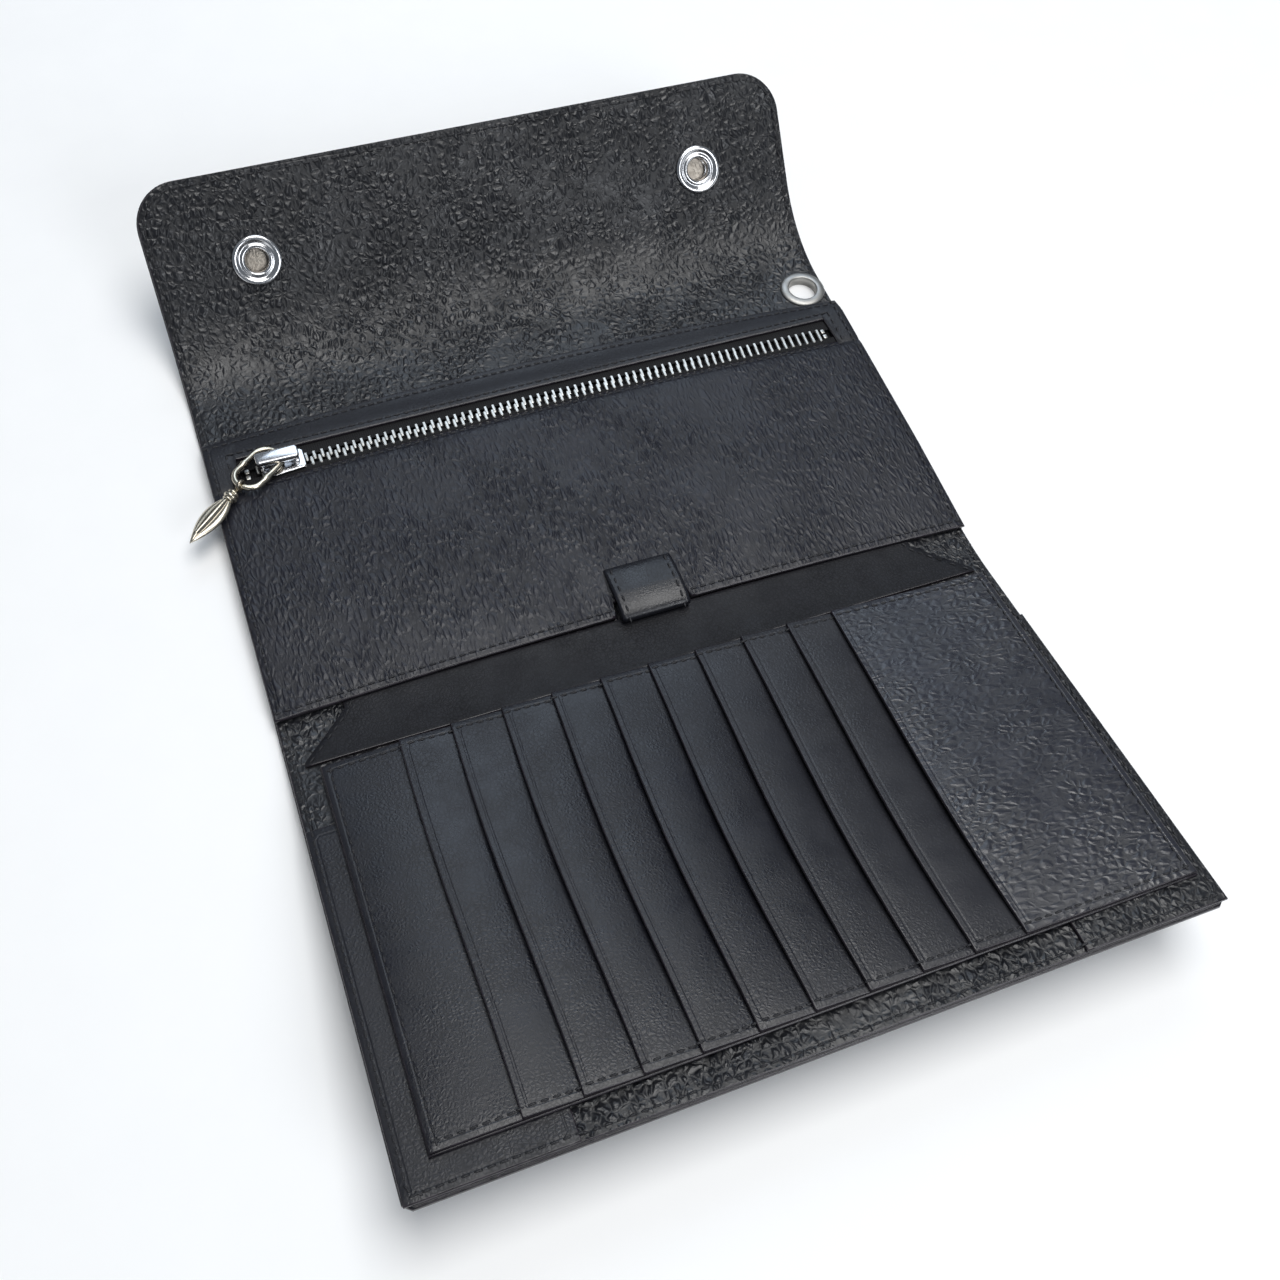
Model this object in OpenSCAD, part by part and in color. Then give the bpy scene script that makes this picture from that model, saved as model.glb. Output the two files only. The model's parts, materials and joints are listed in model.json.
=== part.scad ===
// Trifold snap wallet shown opened out: card leaf, coin pocket with a zip, snap flap and chain eyelet.
// X runs along the folds, Y from the card side towards the flap, Z up. The middle panel lies at z = 0.

/* [Panels] */
// Width along the folds
wallet_w = 195; // [163:1:234]
// Width of the spine strip between the two big panels
spine_t = 11.6; // [10.5:0.1:14]
// Height of the middle panel
back_d = 109.1; // [91:0.1:131]
// How much taller the card side panel is than the middle panel
front_extra = 1.7; // [1:0.1:2]
// Height of the snap flap
flap_d = 39.5; // [33:0.1:47]
// Corner radius of the flap
flap_corner_r = 12; // [8:0.5:16]

/* [Leather] */
// Outer shell thickness
shell_t = 1.4; // [1.2:0.1:1.6]
// Liner thickness
liner_t = 1; // [0.8:0.1:1.2]
// Pocket, band and underlay thickness
pocket_t = 1.2; // [1:0.1:1.4]
// Card piece thickness
card_t = 0.6; // [0.5:0.05:0.8]

/* [Folds at rest] */
// Rise of the spine from the middle panel
spine_rest = 5; // [0:1:20]
// Rise of the card side panel from the spine
front_rest = 5; // [0:1:20]
// Rise of the top strip from the middle panel
strip_rest = 24; // [0:1:40]
// Rise of the flap from the top strip
flap_rest = 24; // [0:1:40]

/* [Card leaf] */
// Left margin beside the card leaf
leaf_left = 8; // [6:0.5:12]
// Right margin beside the card leaf
leaf_right = 4.1; // [3:0.1:8]
// Margin below the card leaf
leaf_bottom = 8; // [4:0.5:14]
// Width of the plain piece before the first slot
first_w = 19.6; // [16:0.2:24]
// Width of the wide last pocket
wide_w = 45.4; // [38:0.2:54]
// Number of narrow card pieces
slots = 9; // [5:1:10]
// Overlap of one card piece under the next
lap_w = 4; // [3:0.5:6]
// Backing thickness of the leaf
backing_t = 0.8; // [0.6:0.1:1]

/* [Coin pocket] */
// Height of the zip's centre line below the top strip's fold
zip_drop = 30.1; // [27:0.1:36]
// Window height that shows the zip
window_d = 9.2; // [9:0.1:10]
// Width of the band above the zip
band_d = 7.9; // [6:0.1:8.4]
// Pocket's lower edge above the spine fold
pocket_gap = 2.3; // [2:0.1:4]
// Rim width round the pocket
rim_w = 6; // [4:0.5:8]
// Pitch of the zip teeth
tooth_pitch = 2.27; // [2:0.01:2.6]

/* [Pen loop] */
// Width of the pen loop
loop_w = 19; // [15:0.5:24]
// Length of the pen loop across the panel
loop_d = 17; // [13:0.5:20]
// Room left over the pen loop when the wallet is closed
loop_room = 0.8; // [0.6:0.1:1.5]
// Centre of the pen loop from the middle of the wallet
loop_x = 4.5; // [-20:0.5:20]

/* [Snaps and eyelet] */
// Snap centre from each side edge
snap_in = 29.5; // [22:0.5:40]
// Snap centre from the flap's fold
snap_up = 14.5; // [13:0.1:18]
// Outer radius of the snap socket's ring
socket_r = 7; // [6:0.1:8]
// Radius of the snap stud
stud_r = 2.8; // [2.3:0.1:3.4]
// Gap round the stud inside the socket
stud_gap = 0.5; // [0.4:0.05:0.7]
// Bore radius of the chain eyelet
eyelet_r = 4.4; // [3.6:0.1:5.3]
// Flange radius of the chain eyelet
eyelet_flange_r = 7; // [6:0.1:7.2]
// Eyelet centre from the right side edge
eyelet_in = 7.4; // [7.2:0.1:12]
// Eyelet centre from the top strip's fold
eyelet_drop = 10.3; // [10:0.1:12]

/* [Zip pull] */
// Slider centre from the left side edge
slider_in = 20.5; // [19:0.5:30]
// Direction of the pull below the zip line
pull_rest = 41; // [30:1:45]
// Length of the pendant
pendant_len = 21; // [16:0.5:26]

/* [Hidden] */
stack_t = shell_t + liner_t;
fold_z = stack_t / 2;
fold_gap = 0.1;
tight_gap = 0.6;

// The closed wallet: the strip's lean, the card side panel's slope and the room under the flap
closed_strip = 78;
closed_wedge = 3;
flap_room = 1.55;
spine_lean = closed_wedge / 2;
fold_a_y = -back_d / 2 - spine_t * sin(spine_lean);
fold_a_z = spine_t * cos(spine_lean);
front_rise = (back_d / 2 - fold_a_y) * tan(closed_wedge);
flap_rise = fold_a_z + front_rise + (stack_t + flap_room) / cos(closed_wedge);
strip_d = flap_rise / (sin(closed_strip) - cos(closed_strip) * tan(closed_wedge));
front_d = back_d + front_extra;

// Slip clearances
slip = 0.1;
lift = 0.3;

// Card leaf heights, in the card side panel's own frame
underlay_t = 1;
underlay_w = 37.7;
underlay_d = front_d - 19.3;
leaf_gap = 2.3;
leaf_d = front_d - leaf_gap - leaf_bottom;
leaf_z = stack_t + underlay_t + slip;
leaf_w = wallet_w - leaf_left - leaf_right;
leaf_x = -wallet_w / 2 + leaf_left;
leaf_y = -leaf_gap - leaf_d;
card_z = leaf_z + backing_t;
pitch = (leaf_w - first_w - wide_w) / slots;
lap_gap = 0.08;
card_tilt = asin((card_t + lap_gap) / pitch);
card_rise = (pitch + lap_w) * tan(card_tilt) + 0.02;
wide_tilt = atan(card_rise / wide_w);
leaf_thick = backing_t + card_rise + card_t;
loop_h = spine_t - stack_t - underlay_t - slip - leaf_thick - loop_room;

// Coin pocket heights, in the middle panel's frame
lining_t = 0.4;
plate_t = 0.5;
cover_t = 0.6;
tooth_h = 1;
tooth_w = 2.2;
tooth_gap = 0.3;
tooth_l = 1.3;
tape_t = 0.4;
tape_w = 7;
rail_w = 0.4;
rail_h = 0.5;
lining_z = stack_t;
plate_z = lining_z + lining_t + slip;
tooth_z = plate_z + plate_t + slip;
tape_z = tooth_z + (tooth_h - tape_t) / 2;
face_z = tape_z + tape_t;
cover_z = tooth_z + tooth_h + slip;
face_top = face_z + pocket_t;
zip_y = back_d / 2 - zip_drop;
pocket_y = -back_d / 2 + pocket_gap;
window_y0 = zip_y - window_d / 2;
window_y1 = zip_y + window_d / 2;
band_y1 = window_y1 + band_d;
room_y1 = zip_y + tooth_gap + tooth_w + tape_w + 0.5;
window_x0 = -wallet_w / 2 + 8.5;
window_x1 = wallet_w / 2 - 7.5;
teeth_x0 = window_x0 + 5;
teeth_n = floor((window_x1 - 5 - teeth_x0) / tooth_pitch);
notch_w = loop_w + 2;
notch_d = loop_d + 2;
notch_wall = 3;

// Slider and pull
slider_x = -wallet_w / 2 + slider_in;
slider_l = 12;
slider_w = 8;
post_w = 0.4;
post_l = 3;
crown_l = 11.6;
crown_w = 3.2;
crown_foot = 1.6;
crown_gap = 2.7;
crown_bar = 0.9;
ring_wire = 0.7;
ring_r = 4;
ring_l = 7;
ring_tilt = 5.7;
ring_x = slider_x - 4.3;
ring_y = zip_y + 0.5;
ring_z = cover_z + cover_t + 1.7;
eye_wire = 0.45;
eye_r = 1.35;
bead_r = 2.1;
bead_at = 3.4;
collar_l = 1.6;
stem_r = 0.8;
drop_w = 6.4;
drop_t = 3;

// Snap sizes, measured from the leather faces
socket_t = 1.1;
socket_tube_r = stud_r + stud_gap + 0.6;
cap_t = 1;
cap_r = 7.5;
stud_flange_r = 5.5;
stud_flange_t = 0.3;
stud_h = 3.2;
rivet_r = 1.6;
rivet_head_r = 4.5;
rivet_head_t = 0.6;
snap_x = wallet_w / 2 - snap_in;

// Where the stud sits so that it meets the socket when the wallet is closed
fold_d_y = back_d / 2 + strip_d * cos(closed_strip);
fold_d_z = strip_d * sin(closed_strip);
socket_y = fold_d_y - snap_up * cos(closed_wedge);
socket_z = fold_d_z - snap_up * sin(closed_wedge);
stud_d = (socket_y - fold_a_y) * cos(closed_wedge) + (socket_z - fold_a_z) * sin(closed_wedge);

// Eyelet sizes
eyelet_x = wallet_w / 2 - eyelet_in;
eyelet_y = back_d / 2 - eyelet_drop;
eyelet_wall = 0.5;
flange_t = 0.8;
washer_t = 0.5;
washer_r = 6.5;

// Colours
hide = [0.055, 0.057, 0.066];
hide_card = [0.065, 0.067, 0.076];
hide_grain = [0.05, 0.051, 0.058];
cloth = [0.03, 0.03, 0.032];
steel = [0.75, 0.75, 0.76];
nickel = [0.62, 0.61, 0.58];
antique = [0.55, 0.52, 0.47];

// Frames of the moving panels, each with y = 0 on its own fold

module on_spine() {
  translate([0, -back_d / 2, fold_z])
    rotate([-spine_rest, 0, 0])
      translate([0, 0, -fold_z]) children();
}

module on_front() {
  on_spine()
    translate([0, -spine_t, fold_z])
      rotate([-front_rest, 0, 0])
        translate([0, 0, -fold_z]) children();
}

module on_strip() {
  translate([0, back_d / 2, fold_z])
    rotate([strip_rest, 0, 0])
      translate([0, 0, -fold_z]) children();
}

module on_flap() {
  on_strip()
    translate([0, strip_d, fold_z])
      rotate([flap_rest, 0, 0])
        translate([0, 0, -fold_z]) children();
}

// A layer between two heights, square or half round at each end, seen along X
module layer_profile(y0, y1, z0, z1, round0, round1) {
  translate([y0, z0]) square([y1 - y0, z1 - z0]);
  if (round0) {
    fold_end(y0, z0, z1);
  }
  if (round1) {
    fold_end(y1, z0, z1);
  }
}

// The part of a fold's round edge that one layer makes
module fold_end(y, z0, z1) {
  intersection() {
    translate([y, fold_z]) circle(r = fold_z, $fn = 48);
    translate([y - fold_z, z0]) square([2 * fold_z, z1 - z0]);
  }
}

// A layer run along the whole width
module layer(y0, y1, z0, z1, round0 = false, round1 = false) {
  translate([-wallet_w / 2, 0, 0])
    rotate([90, 0, 90])
      linear_extrude(height = wallet_w) layer_profile(y0, y1, z0, z1, round0, round1);
}

module disc(r, z0, z1) {
  translate([0, 0, z0]) cylinder(r = r, h = z1 - z0, $fn = 64);
}

module at_snaps(y) {
  for (side = [-1, 1]) {
    translate([side * snap_x, y, 0]) children();
  }
}

// Shell and liner of the middle panel

module shell_back() {
  color(hide)
    difference() {
      layer(-back_d / 2, back_d / 2, 0, shell_t, true, true);
      translate([eyelet_x, eyelet_y, 0]) disc(eyelet_r + eyelet_wall, -1, stack_t);
      translate([eyelet_x, eyelet_y, 0]) disc(washer_r, -1, washer_t);
    }
}

module liner_back() {
  color(hide_grain)
    difference() {
      layer(-back_d / 2, back_d / 2, shell_t, stack_t, true, true);
      translate([eyelet_x, eyelet_y, 0]) disc(eyelet_r + eyelet_wall, 0, stack_t + 1);
    }
}

// Spine

module shell_spine() {
  color(hide)
    on_spine() layer(-spine_t, -fold_z - fold_gap, 0, shell_t, true, false);
}

module liner_spine() {
  color(hide_grain)
    on_spine() layer(-spine_t, -fold_z - fold_gap, shell_t, stack_t, true, false);
}

module spine_tab() {
  edge = 1.9;
  upper = wallet_w / 2 - 15.5;
  lower = wallet_w / 2 - 6.5;
  color(hide_card)
    on_spine()
      translate([0, 0, stack_t])
        linear_extrude(height = backing_t)
          polygon([
            [-upper, -edge], [upper, -edge],
            [lower, -spine_t + edge], [-lower, -spine_t + edge]
          ]);
}

// Card side panel

module shell_front() {
  color(hide)
    on_front()
      difference() {
        layer(-front_d, -fold_z - fold_gap, 0, shell_t);
        at_snaps(-stud_d) disc(rivet_r, -1, shell_t + 1);
      }
}

module liner_front() {
  color(hide_grain)
    on_front()
      difference() {
        layer(-front_d, -fold_z - fold_gap, shell_t, stack_t);
        at_snaps(-stud_d) disc(rivet_head_r, 0, stack_t + 1);
      }
}

module underlay(x0) {
  color(hide_card)
    on_front()
      translate([x0, -front_d, stack_t]) cube([underlay_w, underlay_d, underlay_t]);
}

module underlay_left() {
  underlay(-wallet_w / 2);
}

module underlay_right() {
  underlay(wallet_w / 2 - underlay_w);
}

// Card leaf

module leaf_backing() {
  color(hide_card)
    on_front()
      translate([leaf_x, leaf_y, leaf_z]) cube([leaf_w, leaf_d, backing_t]);
}

module card_first() {
  color(hide_card)
    on_front()
      translate([leaf_x, leaf_y, card_z]) cube([first_w + lap_w, leaf_d, card_t]);
}

module card_plate(x0, w, tilt) {
  color(hide_card)
    on_front()
      translate([x0, leaf_y, card_z + card_rise])
        rotate([0, tilt, 0]) cube([w, leaf_d, card_t]);
}

module card_piece(i) {
  card_plate(leaf_x + first_w + (i - 1) * pitch, pitch + lap_w, card_tilt);
}

module card_wide() {
  card_plate(leaf_x + leaf_w - wide_w, wide_w, wide_tilt);
}

// Coin pocket

module pocket_outline() {
  difference() {
    translate([-wallet_w / 2, pocket_y]) square([wallet_w, band_y1 - pocket_y]);
    loop_notch();
  }
}

module loop_notch() {
  translate([loop_x - notch_w / 2, pocket_y - 1]) square([notch_w, notch_d + 1]);
}

module pocket_room() {
  difference() {
    translate([window_x0 - 1, pocket_y + rim_w])
      square([window_x1 - window_x0 + 2, room_y1 - pocket_y - rim_w]);
    translate([loop_x - notch_w / 2 - notch_wall, pocket_y])
      square([notch_w + 2 * notch_wall, notch_d + notch_wall]);
  }
}

module pocket_lining() {
  color(cloth)
    translate([0, 0, lining_z])
      linear_extrude(height = lining_t) pocket_outline();
}

module pocket_rim() {
  color(hide)
    translate([0, 0, lining_z + lining_t])
      linear_extrude(height = face_z - lining_z - lining_t)
        difference() {
          pocket_outline();
          pocket_room();
        }
}

module pocket_face() {
  color(hide_grain)
    translate([0, 0, face_z])
      linear_extrude(height = pocket_t)
        difference() {
          translate([-wallet_w / 2, pocket_y]) square([wallet_w, window_y0 - pocket_y]);
          loop_notch();
        }
}

module zip_band() {
  color(hide_card)
    translate([0, 0, face_z])
      linear_extrude(height = pocket_t)
        difference() {
          translate([-wallet_w / 2, window_y0]) square([wallet_w, band_y1 - window_y0]);
          translate([window_x0, window_y0 - 1])
            square([window_x1 - window_x0, window_d + 1]);
        }
}

// Zip

module tape(side) {
  near = tooth_gap + tooth_w;
  y0 = side > 0 ? zip_y + near : zip_y - near - tape_w;
  color(cloth)
    translate([window_x0, y0, tape_z])
      cube([window_x1 - window_x0, tape_w, tape_t]);
}

module tape_upper() {
  tape(1);
}

module tape_lower() {
  tape(-1);
}

module teeth_row() {
  row_l = teeth_n * tooth_pitch;
  for (i = [0 : teeth_n - 1]) {
    translate([i * tooth_pitch, tooth_gap, 0]) cube([tooth_l, tooth_w, tooth_h]);
  }
  translate([0, tooth_gap + tooth_w - rail_w, (tooth_h - rail_h) / 2])
    cube([row_l, rail_w, rail_h]);
}

module teeth_upper() {
  color(steel)
    translate([teeth_x0, zip_y, tooth_z]) teeth_row();
}

module teeth_lower() {
  color(steel)
    translate([teeth_x0 + tooth_pitch / 2, zip_y, tooth_z])
      mirror([0, 1, 0]) teeth_row();
}

module zip_stops() {
  stop_l = 1.6;
  stop_w = 5;
  color(steel)
    for (x = [window_x0 + 1.2, window_x1 - 1.2 - stop_l]) {
      translate([x, zip_y - stop_w / 2, tooth_z]) cube([stop_l, stop_w, tooth_h]);
    }
}

module slider_plate(t) {
  hull_r = 2;
  linear_extrude(height = t)
    union() {
      square([slider_l - 2 * hull_r, slider_w], center = true);
      square([slider_l, slider_w - 2 * hull_r], center = true);
      for (sx = [-1, 1]) {
        for (sy = [-1, 1]) {
          translate([sx * (slider_l / 2 - hull_r), sy * (slider_w / 2 - hull_r)])
            circle(r = hull_r, $fn = 32);
        }
      }
    }
}

module slider_body() {
  color(steel)
    translate([slider_x, zip_y, 0])
      union() {
        translate([0, 0, plate_z]) slider_plate(plate_t);
        translate([0, 0, cover_z]) slider_plate(cover_t);
        translate([-slider_l / 2 + 0.5, -post_w / 2, plate_z])
          cube([post_l, post_w, cover_z - plate_z + cover_t]);
      }
}

module slider_crown() {
  base = cover_z + cover_t;
  color(steel)
    translate([slider_x - 1.2, zip_y, base])
      union() {
        for (side = [-1, 1]) {
          translate([side * (crown_l - crown_foot) / 2, 0, crown_gap / 2])
            cube([crown_foot, crown_w, crown_gap], center = true);
        }
        translate([0, 0, crown_gap + crown_bar / 2])
          cube([crown_l, crown_w, crown_bar], center = true);
      }
}

// Frame of the pull: x points from the slider to the pendant's tip
module on_pull() {
  translate([ring_x, ring_y, ring_z])
    rotate([0, 0, 180 + pull_rest]) children();
}

module ring_half() {
  rotate([0, 0, -90])
    rotate_extrude(angle = 180, $fn = 64)
      translate([ring_r, 0]) circle(r = ring_wire, $fn = 24);
}

module pull_ring() {
  color(antique)
    on_pull()
      rotate([0, -ring_tilt, 0])
        union() {
          mirror([1, 0, 0]) ring_half();
          translate([ring_l, 0, 0]) ring_half();
          for (side = [-1, 1]) {
            translate([0, side * ring_r, 0])
              rotate([0, 90, 0]) cylinder(r = ring_wire, h = ring_l, $fn = 24);
          }
        }
}

// Frame of the pendant, with its origin on the ring's far wire
module on_pendant() {
  reach = ring_l + ring_r;
  on_pull()
    translate([reach * cos(ring_tilt), 0, reach * sin(ring_tilt)]) children();
}

module pendant_eye() {
  color(antique)
    on_pendant()
      union() {
        rotate([90, 0, 0])
          rotate_extrude($fn = 48)
            translate([eye_r, 0]) circle(r = eye_wire, $fn = 24);
        translate([eye_r, 0, 0])
          rotate([0, 90, 0]) cylinder(r = stem_r, h = bead_at - eye_r, $fn = 32);
        translate([bead_at, 0, 0])
          rotate([0, 90, 0]) cylinder(r = bead_r, h = collar_l, $fn = 48);
      }
}

module pendant_drop() {
  base = bead_at + collar_l;
  length = pendant_len - base;
  arc_r = (length * length / 4 + drop_w * drop_w / 4) / drop_w;
  color(antique)
    on_pendant()
      translate([base + length / 2, 0, -drop_t / 2])
        linear_extrude(height = drop_t)
          intersection() {
            translate([0, arc_r - drop_w / 2]) circle(r = arc_r, $fn = 180);
            translate([0, drop_w / 2 - arc_r]) circle(r = arc_r, $fn = 180);
          }
}

// Pen loop

module loop_section(grow) {
  h = loop_h - 2 * grow;
  d = loop_d - 2 * grow;
  r = h / 2;
  union() {
    square([d - 2 * r, h], center = true);
    for (side = [-1, 1]) {
      translate([side * (d / 2 - r), 0]) circle(r = r, $fn = 48);
    }
  }
}

module pen_loop() {
  loop_wall = 1;
  color(hide_card)
    translate([loop_x - loop_w / 2, pocket_y + loop_d / 2, stack_t + loop_h / 2])
      rotate([90, 0, 90])
        linear_extrude(height = loop_w)
          difference() {
            loop_section(0);
            loop_section(loop_wall);
          }
}

// Snaps

module shell_flap_outline() {
  y0 = fold_z + tight_gap;
  union() {
    translate([-wallet_w / 2, y0]) square([wallet_w, flap_d - flap_corner_r - y0]);
    translate([-wallet_w / 2 + flap_corner_r, y0])
      square([wallet_w - 2 * flap_corner_r, flap_d - y0]);
    for (side = [-1, 1]) {
      translate([side * (wallet_w / 2 - flap_corner_r), flap_d - flap_corner_r])
        circle(r = flap_corner_r, $fn = 64);
    }
  }
}

module flap_layer(z0, z1) {
  on_flap()
    difference() {
      translate([0, 0, z0])
        linear_extrude(height = z1 - z0) shell_flap_outline();
      at_snaps(snap_up) disc(socket_tube_r, z0 - 1, z1 + 1);
    }
}

module shell_flap() {
  color(hide) flap_layer(0, shell_t);
}

module liner_flap() {
  color(hide_grain) flap_layer(shell_t, stack_t);
}

module shell_strip() {
  color(hide)
    on_strip() layer(fold_z + fold_gap, strip_d, 0, shell_t, false, true);
}

module liner_strip() {
  color(hide_grain)
    on_strip() layer(fold_z + fold_gap, strip_d, shell_t, stack_t, false, true);
}

module snap_sockets() {
  bore_r = stud_r + stud_gap;
  color(steel)
    on_flap()
      at_snaps(snap_up)
        difference() {
          union() {
            disc(socket_tube_r, 0, stack_t);
            disc(socket_r, stack_t, stack_t + socket_t);
          }
          disc(bore_r, -1, stack_t + socket_t + 1);
        }
}

module snap_caps() {
  color(steel)
    on_flap() at_snaps(snap_up) disc(cap_r, -cap_t, 0);
}

module snap_studs() {
  color(steel)
    on_front()
      at_snaps(-stud_d)
        union() {
          disc(stud_flange_r, -stud_flange_t, 0);
          disc(stud_r, -stud_h, -stud_flange_t);
        }
}

module stud_rivets() {
  color(steel)
    on_front()
      at_snaps(-stud_d)
        union() {
          disc(rivet_r, 0, shell_t);
          disc(rivet_head_r, shell_t, shell_t + rivet_head_t);
        }
}

// Eyelet for the chain's ring

module eyelet_barrel() {
  color(nickel)
    translate([eyelet_x, eyelet_y, 0])
      difference() {
        union() {
          disc(eyelet_r + eyelet_wall, 0, stack_t);
          disc(eyelet_flange_r, stack_t, stack_t + flange_t);
        }
        disc(eyelet_r, -1, stack_t + flange_t + 1);
      }
}

module eyelet_washer() {
  color(nickel)
    translate([eyelet_x, eyelet_y, 0])
      difference() {
        disc(washer_r, 0, washer_t);
        disc(eyelet_r + eyelet_wall, -1, washer_t + 1);
      }
}

shell_back();
shell_spine();
shell_front();
shell_strip();
shell_flap();
liner_back();
liner_spine();
liner_front();
liner_strip();
liner_flap();
underlay_left();
underlay_right();
spine_tab();
leaf_backing();
card_first();
card_piece(1);  // card_1
card_piece(2);  // card_2
card_piece(3);  // card_3
card_piece(4);  // card_4
card_piece(5);  // card_5
card_piece(6);  // card_6
card_piece(7);  // card_7
card_piece(8);  // card_8
card_piece(9);  // card_9
card_wide();
pocket_lining();
pocket_rim();
pocket_face();
zip_band();
tape_upper();
tape_lower();
teeth_upper();
teeth_lower();
zip_stops();
slider_body();
slider_crown();
pull_ring();
pendant_eye();
pendant_drop();
pen_loop();
snap_sockets();
snap_caps();
snap_studs();
stud_rivets();
eyelet_barrel();
eyelet_washer();
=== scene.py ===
# %% [markdown]
# # A long snap wallet, opened out
# A chain wallet is two big leather panels that fold on a narrow spine, and a flap that snaps
# over the outside. This lesson dresses the plain CAD model of one: grained hide, card pieces,
# a coin pocket with a metal zip, snaps, an eyelet for the chain, and every stitch.

import json
import math

import bmesh
import bpy
import numpy as np
from mathutils import Matrix, Vector


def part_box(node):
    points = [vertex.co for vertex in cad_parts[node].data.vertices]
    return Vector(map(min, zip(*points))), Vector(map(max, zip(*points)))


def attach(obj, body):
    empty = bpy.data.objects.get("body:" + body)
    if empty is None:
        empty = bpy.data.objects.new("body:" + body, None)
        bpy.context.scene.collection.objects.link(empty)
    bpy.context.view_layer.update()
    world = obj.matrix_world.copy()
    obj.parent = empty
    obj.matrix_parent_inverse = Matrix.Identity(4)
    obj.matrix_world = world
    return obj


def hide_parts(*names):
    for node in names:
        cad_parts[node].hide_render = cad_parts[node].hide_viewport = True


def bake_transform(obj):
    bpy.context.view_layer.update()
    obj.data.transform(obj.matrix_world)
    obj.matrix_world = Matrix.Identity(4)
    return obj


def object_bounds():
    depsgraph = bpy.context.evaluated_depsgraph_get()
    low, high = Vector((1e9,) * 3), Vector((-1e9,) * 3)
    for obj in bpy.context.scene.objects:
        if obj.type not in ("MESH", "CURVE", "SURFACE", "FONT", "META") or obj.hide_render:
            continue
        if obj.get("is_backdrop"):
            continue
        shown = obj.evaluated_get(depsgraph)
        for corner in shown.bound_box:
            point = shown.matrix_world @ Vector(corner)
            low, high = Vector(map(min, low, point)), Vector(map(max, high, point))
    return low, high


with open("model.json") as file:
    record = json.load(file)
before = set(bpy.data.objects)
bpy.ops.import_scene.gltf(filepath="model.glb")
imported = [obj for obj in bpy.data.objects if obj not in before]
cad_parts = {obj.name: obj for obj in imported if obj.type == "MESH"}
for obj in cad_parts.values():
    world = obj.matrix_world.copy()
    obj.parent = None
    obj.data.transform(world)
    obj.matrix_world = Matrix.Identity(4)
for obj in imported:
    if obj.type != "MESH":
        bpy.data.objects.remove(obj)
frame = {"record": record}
cad_low, cad_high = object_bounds()
MM = 0.001
print("the CAD box in mm:", [round((b - a) / MM, 1) for a, b in zip(cad_low, cad_high)])

# %% [markdown]
# ## Small helpers
# Every mesh in this lesson is made from points and faces, and every object is linked to the same
# collection, so both steps get a name.


# %% Objects and meshes
def show(name, data):
    """A new object in the scene for a mesh, a lamp or a camera."""
    thing = bpy.data.objects.new(name, data)
    bpy.context.scene.collection.objects.link(thing)
    return thing


def mesh_of(name, points, faces, smooth=True):
    """A mesh from points in metres."""
    mesh = bpy.data.meshes.new(name)
    mesh.from_pydata(points, [], faces)
    mesh.polygons.foreach_set("use_smooth", [smooth] * len(mesh.polygons))
    return mesh


def in_metres(points):
    return [tuple(c * MM for c in p) for p in points]


def tube_faces(rings, sides, closed=False):
    """Quads between rings of points; an open tube is capped at both ends."""
    faces = []
    for r in range(rings if closed else rings - 1):
        ahead = (r + 1) % rings * sides
        for q in range(sides):
            p = (q + 1) % sides
            faces.append((r * sides + q, r * sides + p, ahead + p, ahead + q))
    if not closed:
        last = (rings - 1) * sides
        faces += [tuple(range(sides))[::-1], tuple(range(last, last + sides))]
    return faces


def fix_outside(piece, weld=None):
    """Faces turned outward, after points closer than weld are joined and holes filled."""
    b = bmesh.new()
    b.from_mesh(piece.data)
    if weld:
        bmesh.ops.remove_doubles(b, verts=b.verts, dist=weld)
        bmesh.ops.holes_fill(b, edges=b.edges)
    bmesh.ops.recalc_face_normals(b, faces=b.faces)
    b.to_mesh(piece.data)
    b.free()


print("helpers ready")

# %% [markdown]
# ## One flat hide, bent later
# A leatherworker cuts every piece flat and folds the wallet at the end. The script does the same:
# a point is (x, s, h), where x runs along the folds, s is the distance over the leather from the
# bottom edge, and h is the height above the outer face. One function then lays that flat wallet
# over the folds, so that each layer bends with the ones under it.

# %% Lay the flat hide over the folds
joints = {j["name"]: j for j in frame["record"]["behaviour"]["joints"]}
fold_y = {n: joints[n]["pos_m"][1] / MM for n in ("spine_fold", "strip_fold")}
BACK_D = fold_y["strip_fold"] - fold_y["spine_fold"]
SPINE_W = 11.6
STRIP_W = 22.0
FRONT_D = BACK_D + 1.7
FLAP_D = 39.5
MID_H = joints["spine_fold"]["pos_m"][2] / MM
LINER_TOP = 2 * MID_H
HALF_W = (cad_high[0]) / MM
S_FRONT = FRONT_D
S_BACK = FRONT_D + SPINE_W
S_STRIP = S_BACK + BACK_D
S_FLAP = S_STRIP + STRIP_W
S_END = S_FLAP + FLAP_D
S_MID = (S_BACK + S_STRIP) / 2
# Half the length over which the leather bends, at the spine and at the folds over the top.
SPINE_SOFT, TOP_SOFT = 2.9, 5.6
SPINE_BEND = (S_FRONT - SPINE_SOFT, S_BACK + SPINE_SOFT)
TOP_BEND = (S_STRIP - TOP_SOFT, S_FLAP + TOP_SOFT)
SPINE_TURN = math.radians(10)
TOP_TURN = math.radians(48)


def heading(s):
    """Slope of the leather at s, in radians."""
    low = np.clip((s - SPINE_BEND[0]) / (SPINE_BEND[1] - SPINE_BEND[0]), 0, 1)
    top = np.clip((s - TOP_BEND[0]) / (TOP_BEND[1] - TOP_BEND[0]), 0, 1)
    return -SPINE_TURN * (1 - low) + TOP_TURN * top


RAIL_STEP = 0.1
RAIL_S = np.arange(-6.0, 300.0, RAIL_STEP)


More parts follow.
